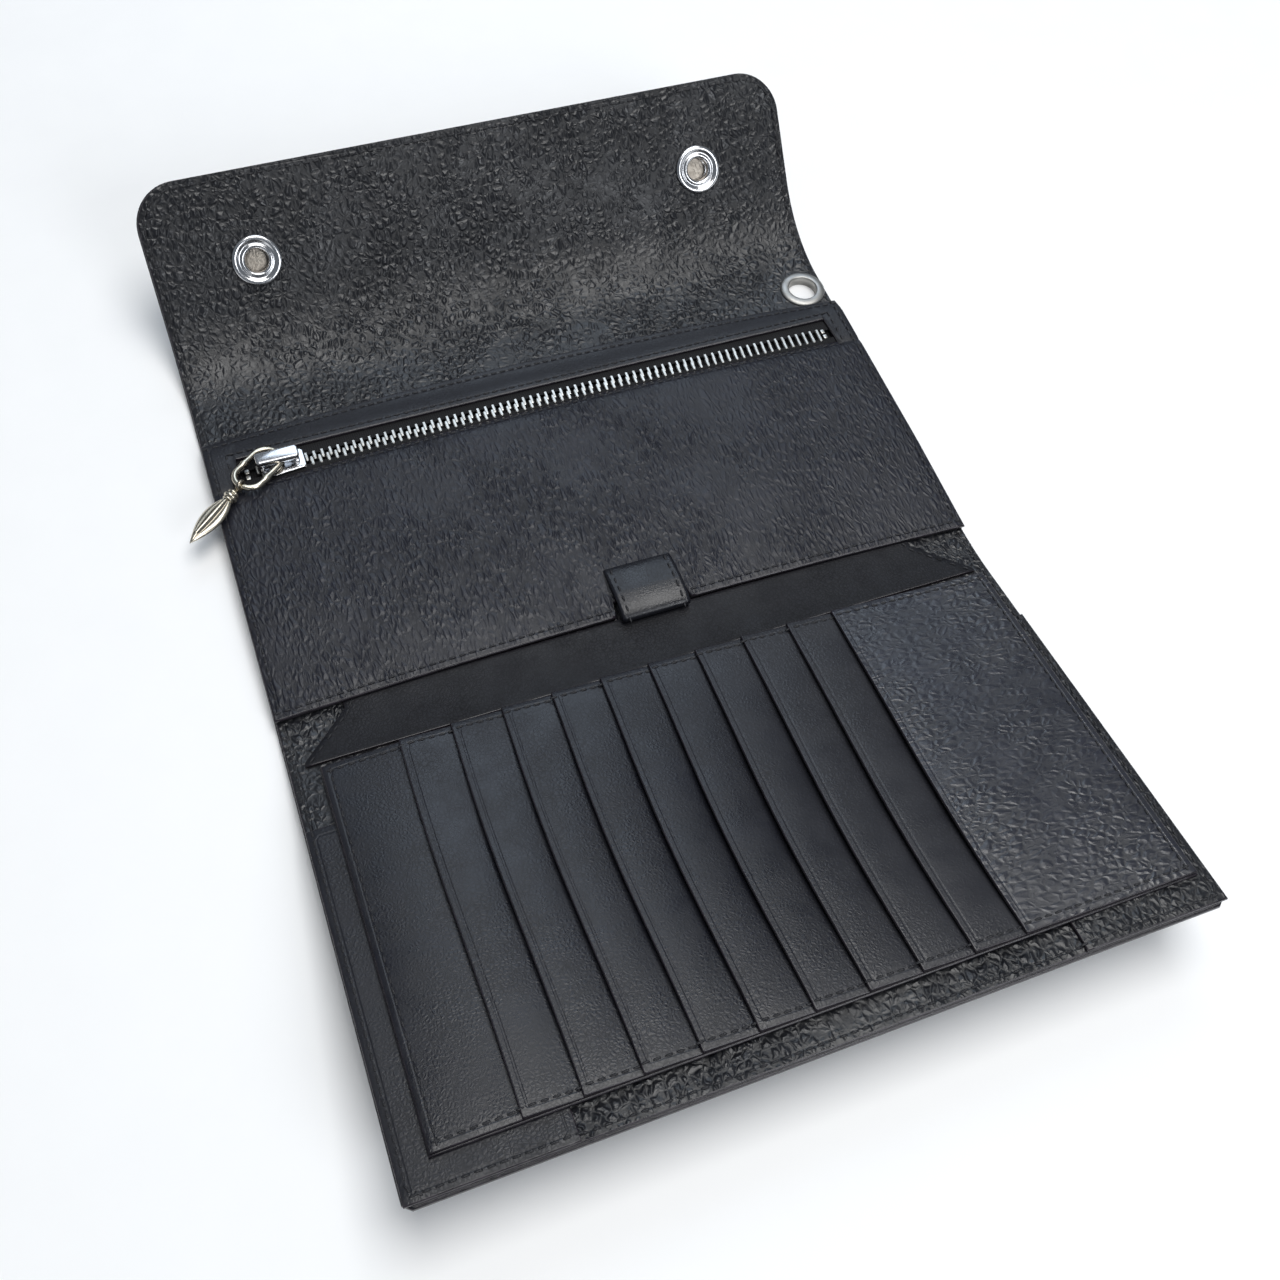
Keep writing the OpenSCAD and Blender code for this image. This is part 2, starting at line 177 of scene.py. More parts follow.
def gone_along(way):
    """Distance gone in one direction at each point of RAIL_S, counted from S_MID."""
    slope = heading(RAIL_S[:-1] + RAIL_STEP / 2)
    gone = np.concatenate([[0], np.cumsum(way(slope) * RAIL_STEP)])
    return gone - np.interp(S_MID, RAIL_S, gone)


RAIL_Y = gone_along(np.cos)
RAIL_Z = gone_along(np.sin) + MID_H


def lay(x, s, h):
    """World points, in metres, of flat points in millimetres."""
    x, s, h = np.broadcast_arrays(np.asarray(x, float), s, h)
    turn = heading(s)
    y = np.interp(s, RAIL_S, RAIL_Y) - (h - MID_H) * np.sin(turn)
    z = np.interp(s, RAIL_S, RAIL_Z) + (h - MID_H) * np.cos(turn)
    return np.stack([x, y, z], axis=-1) * MM


print("flap fold, laid and CAD:", lay(0, S_FLAP, MID_H)[1:], joints["flap_fold"]["pos_m"][1:])

# %% [markdown]
# ## Camera first
# A long-ish lens close above the card side, looking down along the wallet, shows all of the
# inside at once. The camera is placed from the open wallet's own frame, so it is measured on the
# card panel and then turned with it.

# %% Camera
EYE = Vector((-85.9, -93.2, 281.4))
EYE_DOWN = math.radians(50.93)
EYE_TURN = math.radians(21.55)
EYE_ROLL = math.radians(0.92)
LENS = 38.64


def card_panel_frame():
    """Matrix of the card panel, with its origin at the panel's bottom edge on the liner."""
    corner = lay(0, 0, LINER_TOP)
    return Matrix.Translation(Vector(corner)) @ Matrix.Rotation(-SPINE_TURN, 4, "X")


def add_camera():
    ahead = Vector((
        math.cos(EYE_DOWN) * math.sin(EYE_TURN),
        math.cos(EYE_DOWN) * math.cos(EYE_TURN),
        -math.sin(EYE_DOWN),
    ))
    side = Vector((math.cos(EYE_TURN), -math.sin(EYE_TURN), 0))
    up = side.cross(ahead)
    side = side * math.cos(EYE_ROLL) + up * math.sin(EYE_ROLL)
    up = side.cross(ahead)
    turn = Matrix((side, up, -ahead)).transposed().to_4x4()
    data = bpy.data.cameras.new("view")
    data.lens = LENS
    data.sensor_width = 36
    data.clip_start = 0.01
    camera = show("view", data)
    camera.matrix_world = card_panel_frame() @ Matrix.Translation(EYE * MM) @ turn
    bpy.context.scene.camera = camera
    return camera


camera = add_camera()
print("camera at", [round(v, 3) for v in camera.matrix_world.translation])

# %% [markdown]
# ## Shader maths as plain sums
# Leather patterns are sums and products of a few textures. A small class wraps a socket so that
# `1 - crease * 0.5` builds its own Math nodes, and one method adds any other node.


# %% A number in a node tree
class Level:
    """A number socket that can be added, multiplied and so on."""

    def __init__(self, tree, socket):
        self.tree = tree
        self.socket = socket

    def maths(self, operation, *values, clamp=False):
        node = self.tree.nodes.new("ShaderNodeMath")
        node.operation = operation
        node.use_clamp = clamp
        for slot, value in zip(node.inputs, values):
            if isinstance(value, Level):
                self.tree.links.new(value.socket, slot)
            else:
                slot.default_value = value
        return Level(self.tree, node.outputs[0])

    def __add__(self, other):
        return self.maths("ADD", self, other)

    __radd__ = __add__

    def __sub__(self, other):
        return self.maths("SUBTRACT", self, other)

    def __rsub__(self, other):
        return self.maths("SUBTRACT", other, self)

    def __mul__(self, other):
        return self.maths("MULTIPLY", self, other)

    __rmul__ = __mul__

    def __abs__(self):
        return self.maths("ABSOLUTE", self)

    def clamped(self):
        return self.maths("ADD", self, 0.0, clamp=True)

    def smooth(self, low, high):
        """0 below low, 1 above high, and a soft step between."""
        node = self.tree.nodes.new("ShaderNodeMapRange")
        node.interpolation_type = "SMOOTHSTEP"
        self.tree.links.new(self.socket, node.inputs["Value"])
        node.inputs["From Min"].default_value = low
        node.inputs["From Max"].default_value = high
        return Level(self.tree, node.outputs["Result"])
print("Level: sockets that add and multiply")

# %% [markdown]
# A material is a Principled shader plus whatever drives it. The class keeps the tree at hand and
# has short names for the textures that leather and metal need.


# %% A material under construction
class Finish:
    """A Principled material whose other nodes are added one by one."""

    def __init__(self, name, **constants):
        self.material = bpy.data.materials.new(name)
        self.material.use_nodes = True
        self.tree = self.material.node_tree
        self.shader = self.tree.nodes["Principled BSDF"]
        for socket, value in constants.items():
            self.shader.inputs[socket.replace("_", " ")].default_value = value

    def add(self, kind, settings=None, output=0, **sockets):
        """A node of any kind: its settings are set first, then its sockets."""
        node = self.tree.nodes.new(kind)
        for key, value in (settings or {}).items():
            setattr(node, key, value)
        for key, value in sockets.items():
            slot = int(key[2:]) if key.startswith("in") else key.replace("_", " ")
            self.plug(value, node.inputs[slot])
        return Level(self.tree, node.outputs[output])

    def plug(self, value, slot):
        if isinstance(value, Level):
            self.tree.links.new(value.socket, slot)
        else:
            slot.default_value = value

    def attribute(self, name, output="Fac"):
        return self.add("ShaderNodeAttribute", {"attribute_name": name}, output=output)

    def flat(self, stretch=(1, 1, 1)):
        """The flat hide's coordinates in millimetres, stretched."""
        return self.add("ShaderNodeMapping", None, Vector=self.attribute("flat", "Vector"), Scale=stretch)

    def place(self, stretch=(1000, 1000, 1000)):
        """Object coordinates, stretched to millimetres by default."""
        spot = self.add("ShaderNodeTexCoord", None, output="Object")
        return self.add("ShaderNodeMapping", None, Vector=spot, Scale=stretch)

    def noise(self, where, scale, detail=2.0, rough=0.5, kind="FBM", output=0):
        return self.add(
            "ShaderNodeTexNoise", {"noise_type": kind}, output=output,
            Vector=where, Scale=scale, Detail=detail, Roughness=rough,
        )

    def border(self, where, scale):
        """Distance to the nearest border between cells."""
        return self.add("ShaderNodeTexVoronoi", {"feature": "DISTANCE_TO_EDGE"}, Vector=where, Scale=scale)

    def bands(self, where, way, scale, distortion):
        settings = {"wave_type": "BANDS", "bands_direction": way}
        return self.add("ShaderNodeTexWave", settings, Vector=where, Scale=scale, Distortion=distortion)
    def nudge(self, where, scale, amount):
        """where, pushed about by a soft noise."""
        push = self.noise(where, scale, 1.0, output="Color")
        vector = "ShaderNodeVectorMath"
        centred = self.add(vector, {"operation": "SUBTRACT"}, in0=push, in1=(0.5, 0.5, 0.5))
        sized = self.add(vector, {"operation": "SCALE"}, in0=centred, Scale=amount)
        return self.add(vector, {"operation": "ADD"}, in0=where, in1=sized)

    def blend_colours(self, factor, low, high):
        node = self.tree.nodes.new("ShaderNodeMix")
        node.data_type = "RGBA"
        self.plug(factor, node.inputs[0])
        self.plug(low, node.inputs[6])
        self.plug(high, node.inputs[7])
        return Level(self.tree, node.outputs[2])

    def relief(self, height):
        """height in millimetres drives the normal."""
        bump = self.add("ShaderNodeBump", None, Height=height, Distance=MM, Strength=1.0)
        self.plug(bump, self.shader.inputs["Normal"])

    def set(self, socket, value):
        self.plug(value, self.shader.inputs[socket])


print("Finish: a Principled shader under construction")
# %% [markdown]
# ## Black leather
# The hide is glazed and almost black with a faint blue, and what the eye reads is gloss broken by
# grain. Grain is small pillows between creases: cells whose borders are pressed in, on coordinates
# nudged by noise so that no two cells match. The flap has coarse pillows, the coin pocket fine
# ones pulled along the hide, and the card pieces are almost smooth with a few wrinkles.


# %% Leather finishes
def leather(name, tint, gloss, pillow, stretch, depth, wrinkle, wrinkle_size,
            groove=0.0, ior=1.5, right_side_painted_light=0.0):
    """A glazed hide: pillow is the grain's size in mm and depth its height."""
    f = Finish(name, IOR=ior)
    # A coarse push bends whole rows of the grain, and a fine one makes each pillow uneven.
    rough_way = f.nudge(f.flat(stretch), 0.22 / pillow, pillow * 1.6)
    where = f.nudge(rough_way, 1.1 / pillow, pillow * 0.7)
    border = f.border(where, 1.0 / pillow)
    dome = border.smooth(0.0, 0.42)
    crease = 1 - border.smooth(0.0, 0.13)
    lumps = f.noise(where, 0.8 / pillow, 3.0, 0.55)
    strong = f.noise(f.flat(), 0.04, 2.0).smooth(0.32, 0.66) * 0.6 + 0.4
    bent = f.nudge(f.flat(wrinkle_size), 0.5, 1.2)
    folds = f.noise(bent, 1.0, 3.0, 0.55, "RIDGED_MULTIFRACTAL")
    pores = f.noise(f.flat(), 4.0, 2.0)
    height = (dome * 0.75 + lumps * 0.9) * strong * depth
    height = height - folds.smooth(0.6, 1.3) * wrinkle + pores * 0.01
    if groove:
        line = 1 - abs(f.attribute("edge") - groove).smooth(0.1, 0.45)
        height = height - line * 0.06
    f.relief(height)
    # Painted highlight: pillow tops are coloured paler, together with random patches of paler tone.
    dome_sheen_and_tone = dome * 0.4 + f.noise(f.flat(), 0.09, 3.0).smooth(0.4, 0.75) * 0.6
    light, dark = ([c * k for c in tint] + [1] for k in (1.45, 0.45))
    colour = f.blend_colours(dome_sheen_and_tone.clamped(), (*tint, 1), light)
    if right_side_painted_light:
        # Painted light: the hide is lightened towards the right, because the lamps leave that side too dark.
        across = f.add("ShaderNodeSeparateXYZ", None, Vector=f.flat(), output="X")
        lit = [c * 1.2 + right_side_painted_light for c in tint] + [1]
        colour = f.blend_colours(across.smooth(-15, 40), colour, lit)
    # Painted shade: the creases between pillows are coloured darker.
    colour = f.blend_colours((crease * 0.7 * strong).clamped(), colour, dark)
    f.set("Base Color", colour)
    dull = crease * 0.18 * strong + f.noise(f.flat(), 0.13, 3.0).smooth(0.3, 0.7) * 0.12
    f.set("Roughness", (dull + (gloss - 0.06)).clamped())
    return f.material


FLAP_HIDE = leather(
    "hide_coarse", (0.0095, 0.010, 0.0125), 0.34, 2.1, (1, 0.85, 1), 0.50, 0.26, (0.10, 0.16, 1), 2.0)
POCKET_HIDE = leather(
    "hide_pocket", (0.0095, 0.0103, 0.0160), 0.40, 1.8, (1.25, 0.50, 1), 0.26, 0.05,
    (0.12, 0.05, 1), 2.0, ior=1.42)
CARD_HIDE = leather(
    "hide_card", (0.0078, 0.0083, 0.0125), 0.32, 1.0, (1, 1, 1), 0.045, 0.06,
    (0.06, 0.028, 1), 1.7, ior=1.45, right_side_painted_light=0.014)
WIDE_HIDE = leather(
    "hide_wide", (0.0145, 0.0155, 0.0225), 0.31, 1.9, (0.62, 1.0, 1), 0.21, 0.15,
    (0.025, 0.14, 1), 1.7, ior=1.62)
PLAIN_HIDE = leather(
    "hide_plain", (0.0075, 0.008, 0.012), 0.40, 1.0, (1, 1, 1), 0.05, 0.02,
    (0.15, 0.15, 1), 2.0, ior=1.45)
TAB_HIDE = leather(
    "hide_tab", (0.0055, 0.0058, 0.0085), 0.52, 1.0, (1, 1, 1), 0.05, 0.06, (0.10, 0.03, 1), ior=1.33)
LOOP_HIDE = leather(
    "hide_loop", (0.0072, 0.0077, 0.0115), 0.28, 1.0, (1, 1, 1), 0.04, 0.02, (0.12, 0.2, 1), ior=1.45)
OUTER_HIDE = leather(
    "hide_outer", (0.0075, 0.008, 0.011), 0.36, 1.9, (1, 1, 1), 0.20, 0.09, (0.1, 0.14, 1))
print("hides:", len([m for m in bpy.data.materials if m.name.startswith("hide_")]))

# %% [markdown]
# ## Cut edges
# A cut edge is sanded, painted and polished, so it is smoother than the hide and a little browner.


# %% Painted cut edges
def edge_paint():
    """Paint on a cut edge, with a brown-violet cast."""
    f = Finish("edge_paint", IOR=1.5)
    where = f.flat((0.25, 0.25, 2.0))
    wavy = f.noise(where, 1.2, 3.0)
    f.relief(wavy * 0.05 + f.noise(f.flat(), 3.0, 2.0) * 0.02)
    low, high = (0.0095, 0.0078, 0.0105, 1), (0.024, 0.019, 0.026, 1)
    f.set("Base Color", f.blend_colours(wavy.smooth(0.3, 0.7), low, high))
    f.set("Roughness", wavy * 0.16 + 0.2)
    return f.material


EDGE_PAINT = edge_paint()
print("edge paint:", EDGE_PAINT.name)

# %% [markdown]
# ## Thread and zip tape
# The thread is black and twisted, and the tape is a dull black weave that the teeth stand out on.


# %% Thread and tape
def thread_finish():
    f = Finish("thread", IOR=1.5)
    ply = f.bands(f.place(), "DIAGONAL", 1.4, 1.0)
    f.relief(ply * 0.05)
    f.set("Base Color", f.blend_colours(ply, (0.006, 0.006, 0.008, 1), (0.02, 0.02, 0.024, 1)))
    f.set("Roughness", ply * 0.2 + 0.45)
    return f.material


def tape_finish():
    f = Finish("zip_tape", IOR=1.45)
    weave = f.bands(f.flat(), "X", 0.5, 0.3) * f.bands(f.flat(), "Y", 0.5, 0.2)
    f.relief(weave * 0.12)
    f.set("Base Color", f.blend_colours(weave, (0.004, 0.004, 0.005, 1), (0.012, 0.012, 0.014, 1)))
    f.set("Roughness", 0.92 - weave * 0.1)
    return f.material


THREAD = thread_finish()
ZIP_TAPE = tape_finish()
print("cloth:", THREAD.name, ZIP_TAPE.name)

# %% [markdown]
# ## Metals
# The snaps, slider and teeth are bright, the eyelet is a duller grey, and the pull is a warmer
# casting whose hollows have gone dark.
# %% Metals
def metal(name, light, dark, rough, tarnish=0.0, grain=8.0, scratch=0.004):
    f = Finish(name, Metallic=1.0)
    where = f.place()
    cloud = f.noise(where, 0.5, 3.0).smooth(0.35, 0.7)
    marks = f.noise(where, grain, 2.0)
    f.relief(marks * scratch)
    factor = (cloud * 0.25 + marks * 0.2 + tarnish * 0.4).clamped()
    if tarnish:
        factor = (factor * (1 - tarnish) + f.attribute("hollow") * tarnish).clamped()
    f.set("Base Color", f.blend_colours(factor, (*light, 1), (*dark, 1)))
    f.set("Roughness", (marks * 0.1 + cloud * 0.06 + (rough - 0.06)).clamped())
    return f.material


CHROME = metal("bright_plate", (0.70, 0.70, 0.71), (0.46, 0.46, 0.48), 0.15)
TEETH_METAL = metal("zip_metal", (0.56, 0.55, 0.52), (0.32, 0.31, 0.29), 0.30)
NICKEL = metal("satin_nickel", (0.40, 0.395, 0.38), (0.22, 0.215, 0.205), 0.40, grain=5.0)
SOCKET_FLOOR = metal(
    "socket_floor", (0.40, 0.36, 0.31), (0.17, 0.145, 0.12), 0.42, grain=1.3, scratch=0.16)
SILVER = metal("cast_silver", (0.72, 0.66, 0.54), (0.10, 0.08, 0.06), 0.22, tarnish=0.8)
print("materials:", len(bpy.data.materials))

# %% [markdown]
# ## Cutting and closing a piece of leather
# Each piece is a grid on the flat hide with a top face, a bottom face and a rounded edge between
# them. The grid also carries two attributes for the materials: `flat`, the place on the hide in
# millimetres, and `edge`, the distance from the cut edge, where the tooled line and stitch groove
# run. Ends where two halves of one hide meet over a fold are left square, so that they close up.


# %% The slab of leather
def spaced(low, high, step, dense=()):
    """Evenly spaced numbers from low to high, with extra ones at the given places."""
    count = max(2, int(round((high - low) / step)) + 1)
    marks = list(np.linspace(low, high, count))
    for place in dense:
        if low < place < high:
            marks = [m for m in marks if abs(m - place) > 0.2] + [place]
    return np.array(sorted(marks))


def slab(name, X, S, top, bottom, soft=0.35, square=()):
    """A closed piece of leather over the grid X, S (arrays i along x, j along s), in mm."""
    n, m = X.shape[0] - 1, X.shape[1] - 1
    X, S = X.astype(float), S.astype(float)
    every = slice(None)
    rims = {
        "left": ((slice(0, 1), every), (slice(1, 2), every)),
        "right": ((slice(n, n + 1), every), (slice(n - 1, n), every)),
        "low": ((every, slice(0, 1)), (every, slice(1, 2))),
        "high": ((every, slice(m, m + 1)), (every, slice(m - 1, m))),
    }
    free = [rims[side] for side in rims if side not in square]
    inset_x, inset_s = X.copy(), S.copy()
    for rim, inner in free:
        dx, ds = X[inner] - X[rim], S[inner] - S[rim]
        k = np.minimum(soft / np.maximum(np.hypot(dx, ds), 1e-6), 0.5)
        inset_x[rim] += dx * k
        inset_s[rim] += ds * k
    T = top(X, S) if callable(top) else np.full(X.shape, float(top))
    B = bottom(X, S) if callable(bottom) else np.full(X.shape, float(bottom))
    gap = np.minimum(soft, (T - B) * 0.45)
    loop = [(i, 0) for i in range(n)] + [(n, j) for j in range(m)]
    loop += [(i, m) for i in range(n, 0, -1)] + [(0, j) for j in range(m, 0, -1)]
    li, lj = np.array(loop).T

    def ring(k, height):
        x = inset_x[li, lj] * (1 - k) + X[li, lj] * k
        s = inset_s[li, lj] * (1 - k) + S[li, lj] * k
        return np.stack((x, s, height[li, lj]), 1)

    rings = [ring(0.7, T - gap * 0.3), ring(1.0, T - gap), ring(1.0, B + gap), ring(0.7, B + gap * 0.3)]
    sheets = [np.stack([inset_x.ravel(), inset_s.ravel(), height.ravel()], 1) for height in (T, B)]
    flat = np.concatenate([sheets[0], *rings, sheets[1]])
    grid = (n + 1) * (m + 1)
    index = np.arange(grid).reshape(n + 1, m + 1)
    count = len(loop)
    low_index = index + grid + 4 * count
    quads = np.stack([index[:-1, :-1], index[1:, :-1], index[1:, 1:], index[:-1, 1:]], -1).reshape(-1, 4)
    faces = quads.tolist() + (quads[:, [0, 3, 2, 1]] + grid + 4 * count).tolist()
    levels = [index[li, lj]] + [grid + k * count + np.arange(count) for k in range(4)] + [low_index[li, lj]]
    for a, b in zip(levels[:-1], levels[1:]):
        faces += np.stack([a, b, np.roll(b, -1), np.roll(a, -1)], 1).tolist()
    mesh = mesh_of(name, lay(flat[:, 0], flat[:, 1], flat[:, 2]), faces)
    edge = np.zeros(len(flat))
    reach = np.full(X.shape, 1e3)
    for rim, inner in free:
        reach = np.minimum(reach, np.hypot(X - X[rim], S - S[rim]))
    edge[:grid] = edge[-grid:] = reach.ravel()
    write_attributes(mesh, flat, edge)
    crisp(mesh, [table[rims[side][0]].ravel() for table in (index, low_index) for side in square])
    piece = show(name, mesh)
    piece["wall"] = 2 * len(quads)
    return piece


def crisp(mesh, rims):
    """Square ends are shaded sharp, so that the top runs on unbroken across the join."""
    if not rims:
        return
    ends = np.zeros(len(mesh.edges) * 2, np.int32)
    mesh.edges.foreach_get("vertices", ends)
    ends = ends.reshape(-1, 2)
    sharp = np.zeros(len(ends), bool)
    for rim in rims:
        inside = np.zeros(len(mesh.vertices), bool)
        inside[rim] = True
        sharp |= inside[ends[:, 0]] & inside[ends[:, 1]]
    mesh.attributes.new("sharp_edge", "BOOLEAN", "EDGE").data.foreach_set("value", sharp)


def write_attributes(mesh, flat, edge):
    place = mesh.attributes.new("flat", "FLOAT_VECTOR", "POINT")
    place.data.foreach_set("vector", np.asarray(flat, np.float32).ravel())
    rim = mesh.attributes.new("edge", "FLOAT", "POINT")
    rim.data.foreach_set("value", np.asarray(edge, np.float32))


def ruled(columns, low, high, rows):
    """Grid between two edges that are functions of x; rows run from 0 to 1."""
    X = np.repeat(columns[:, None], len(rows), 1)
    a, b = low(columns)[:, None], high(columns)[:, None]
    return X, a + (b - a) * rows[None, :]


def level(value):
    return lambda x: np.full(np.shape(x), float(value))


def paint_walls(piece):
    """The cut edge of a leather piece gets the edge paint."""
    if "wall" not in piece or piece.data.materials[0] == ZIP_TAPE:
        return
    piece.data.materials.append(EDGE_PAINT)
    wall = int(piece["wall"])
    which = np.zeros(len(piece.data.polygons), np.int32)
    which[wall:] = 1
    piece.data.polygons.foreach_set("material_index", which)


def finish_piece(piece, material, body=None, replaces=(), bend=None):
    """Material, painted edges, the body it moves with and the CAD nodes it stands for."""
    if material.name not in [m.name for m in piece.data.materials if m]:
        piece.data.materials.append(material)
    paint_walls(piece)
    if body:
        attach(piece, body)
    if bend:
        bend_over(piece, bend)
    if replaces:
        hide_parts(*replaces)
    return piece


print("a piece of leather is a slab, then finished")


# %% [markdown]
# ## Shell and liner
# The shell is one hide from the card panel's bottom edge to the end of the flap, and the liner is
# glued and sewn to its inside. Both bend at the spine and over the top, where the model turns on
# hinges. So each is laid in four lengths that meet mid-way between two folds, and each length
# spans one fold only.

# %% Where each length bends
BENDS = [
    ("card_panel", "spine", 0.0, (S_FRONT + S_BACK) / 2, S_FRONT - SPINE_SOFT, S_FRONT + SPINE_SOFT),
    ("spine", "middle_panel", (S_FRONT + S_BACK) / 2, S_MID, S_BACK - SPINE_SOFT, S_BACK + SPINE_SOFT),
    ("middle_panel", "top_strip", S_MID, (S_STRIP + S_FLAP) / 2, S_STRIP - TOP_SOFT, S_STRIP + TOP_SOFT),
    ("top_strip", "flap", (S_STRIP + S_FLAP) / 2, S_END, S_FLAP - TOP_SOFT, S_FLAP + TOP_SOFT),
]
FLAP_CORNER, BOTTOM_CORNER = 12.5, 2.0


def bend_over(piece, bend):
    """The piece's place is baked into its mesh; the ends of its fold are worked out but not used."""
    start, end = lay(0, bend[4], MID_H), lay(0, bend[5], MID_H)
    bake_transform(piece)


def half_width(s, inset=0.0):
    """Half the hide's width at s, with the flap's rounded corners and the bottom ones."""
    top_r, low_r = FLAP_CORNER - inset, BOTTOM_CORNER
    up = np.clip(s - (S_END - inset - top_r), 0, top_r)
    down = np.clip(low_r - (s - inset), 0, low_r)
    cut = top_r - np.sqrt(top_r * top_r - up * up)
    return HALF_W - inset - cut - (low_r - np.sqrt(low_r * low_r - down * down))


def hide_rows(low, high, inset):
    """Rows along s, close together round the flap's corners and at a fold."""
    rows = list(spaced(max(low, inset), min(high, S_END - inset), 1.6))
    if high >= S_END:
        r = FLAP_CORNER - inset
        start = S_END - inset - r
        rows = [v for v in rows if v < start - 0.5]
        rows += [start + r * math.sin(a) for a in np.linspace(0, math.pi / 2, 14)]
    return np.array(rows)


def hide_length(name, bend, inset, low_h, high_h):
    rows = hide_rows(bend[2], bend[3], inset)
    across = np.linspace(-1, 1, 90)
    wide = half_width(rows, inset)
    X = across[:, None] * wide[None, :]
    S = np.repeat(rows[None, :], len(across), 0)
    square = ["low"] * (bend[2] > 0) + ["high"] * (bend[3] < S_END)
    return slab(name, X, S, high_h, low_h, 0.4, tuple(square))


def drill(piece, spot, axis, radius, deep=12):
    """A round hole through a piece, cut by a Boolean modifier and kept as plain mesh."""
    b = bmesh.new()
    size = radius * MM
    bmesh.ops.create_cone(b, cap_ends=True, segments=48, radius1=size, radius2=size, depth=deep * MM)
    mesh = bpy.data.meshes.new("drill")
    b.to_mesh(mesh)
    b.free()
    bit = show("drill", mesh)
    turn = Vector(axis).to_track_quat("Z", "Y").to_matrix().to_4x4()
    mesh.transform(Matrix.Translation(Vector(spot)) @ turn)
    cut = piece.modifiers.new("hole", "BOOLEAN")
    cut.operation, cut.solver, cut.object = "DIFFERENCE", "EXACT", bit
    bpy.context.view_layer.update()
    result = bpy.data.meshes.new_from_object(piece.evaluated_get(bpy.context.evaluated_depsgraph_get()))
    piece.modifiers.clear()
    piece.data = result
    bpy.data.objects.remove(bit)


FLAP_UP = Vector((0, -math.sin(TOP_TURN), math.cos(TOP_TURN)))
SNAP_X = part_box("snap_sockets")[1].x / MM - 7.0
SNAP_S = S_FLAP + 14.5
TUBE_R, EYELET_HOLE = 3.9, 4.95
EYELET = (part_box("eyelet_barrel")[0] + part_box("eyelet_barrel")[1]) / 2
# Each layer: its slot, hide, inset from the edge, and lowest and highest height.
LAYERS = {
    "shell": ("shell_leather", OUTER_HIDE, 0.0, 0.0, 1.45),
    "liner": ("grained_leather", FLAP_HIDE, 0.35, 1.35, LINER_TOP),
}
PANELS = [("front", "spine"), ("back",), (), ("strip", "flap")]
for k, bend in enumerate(BENDS):
    for layer, (slot, hide, inset, low, high) in LAYERS.items():
        length = hide_length(f"{layer}_length_{k + 1}", bend, inset, low, high)
        length.data.materials.append(hide)
        paint_walls(length)
        if k == 2:
            drill(length, EYELET, (0, 0, 1), EYELET_HOLE)
        if k == 3:
            for x in (-SNAP_X, SNAP_X):
                drill(length, lay(x, SNAP_S, MID_H), FLAP_UP, TUBE_R)
        bend_over(length, bend)
        if PANELS[k]:
            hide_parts(*(f"{layer}_{panel}" for panel in PANELS[k]))

# %% [markdown]
# ## Under the card leaf
# Two pieces lie on the liner at the sides of the card panel, and their top edges stop short of
# the spine. A thin tab with cut corners covers the spine.

# %% Underlays and the tab over the spine
POCKET_LOW = S_BACK + 2.6
POCKET_TOP = 196.4
LEAF_TOP = S_FRONT - 2.3
LEAF_LOW = 8.0
UNDER_TOP = 91.5
UNDER_IN = HALF_W - 37.7


for side, name, hide in ((-1, "underlay_left", PLAIN_HIDE), (1, "underlay_right", FLAP_HIDE)):
    x0, x1 = sorted((side * (HALF_W - 0.4), side * UNDER_IN))
    X, S = ruled(spaced(x0, x1, 3.0), level(0.4), level(UNDER_TOP), np.linspace(0, 1, 31))
    piece = slab(name + "_hide", X, S, LINER_TOP + 0.95, LINER_TOP - 0.1, 0.3)
    finish_piece(piece, hide, "card_panel", (name,))

TAB_LOW, TAB_HIGH = S_FRONT - 1.0, S_BACK + 4.0
TAB_TOP = LINER_TOP + 0.8

def tab_half(s):
    """Half the tab's width: its four corners are cut off."""
    low_cut = np.clip(1 - (s - TAB_LOW - 1.2) / 12.5, 0, 1)
    return HALF_W - 17.5 + 13.0 * low_cut


def tab_piece(name, bend, s0, s1, square, replaces=()):
    rows = spaced(s0, s1, 1.0)
    across = np.linspace(-1, 1, 60)
    X = across[:, None] * tab_half(rows)[None, :]
    S = np.repeat(rows[None, :], len(across), 0)
    piece = slab(name, X, S, TAB_TOP, LINER_TOP - 0.05, 0.25, square)
    return finish_piece(piece, TAB_HIDE, replaces=replaces, bend=bend)


middle_of_spine = (S_FRONT + S_BACK) / 2
tab_piece("spine_tab_low", BENDS[0], TAB_LOW, middle_of_spine, ("high",), ("spine_tab",))
tab_piece("spine_tab_high", BENDS[1], middle_of_spine, TAB_HIGH, ("low",))

# %% [markdown]
# ## The card leaf
# Card pockets are narrow pieces sewn down at both ends, each one laid on top of its neighbour, so
# a card slides in from the free edge. A free edge gapes a little in the middle, where nothing
# holds it, and lies tight at the stitches. One height function says all of that for every piece,
# and the stitches use it too, so that they lie on the leather.

# %% Card pieces
LEAF_L = -HALF_W + 8.0
LEAF_R = HALF_W - 4.1
CARD_BASE = LINER_TOP + 1.1 + 0.8
CARD_T = 0.95
FIRST_W, WIDE_W, SLOTS = 19.6, 45.4, 9
PITCH = (LEAF_R - LEAF_L - FIRST_W - WIDE_W) / SLOTS
LAP = 4.0
GAPE = [0.85, 1.0, 1.05, 1.15, 1.2, 1.3, 1.4, 1.35, 1.2, 1.3]
SLOT_X = [LEAF_L + FIRST_W + i * PITCH for i in range(SLOTS + 1)]


def slot_edge(i, s):
    """The free edge of slot i wanders a little from a straight line."""
    v = (s - LEAF_LOW) / (LEAF_TOP - LEAF_LOW)
    return SLOT_X[i] - (0.5 + 0.13 * i) * np.sin(math.pi * v) + 0.35 * np.sin(2 * math.pi * v + 0.4 * i)


def leaf_bow(x):
    """The leaf's top edge bows: it is a little lower at its two corners."""
    u = (x - LEAF_L) / (LEAF_R - LEAF_L)
    return LEAF_TOP + 0.1 - 1.5 * (2 * u - 1) ** 2


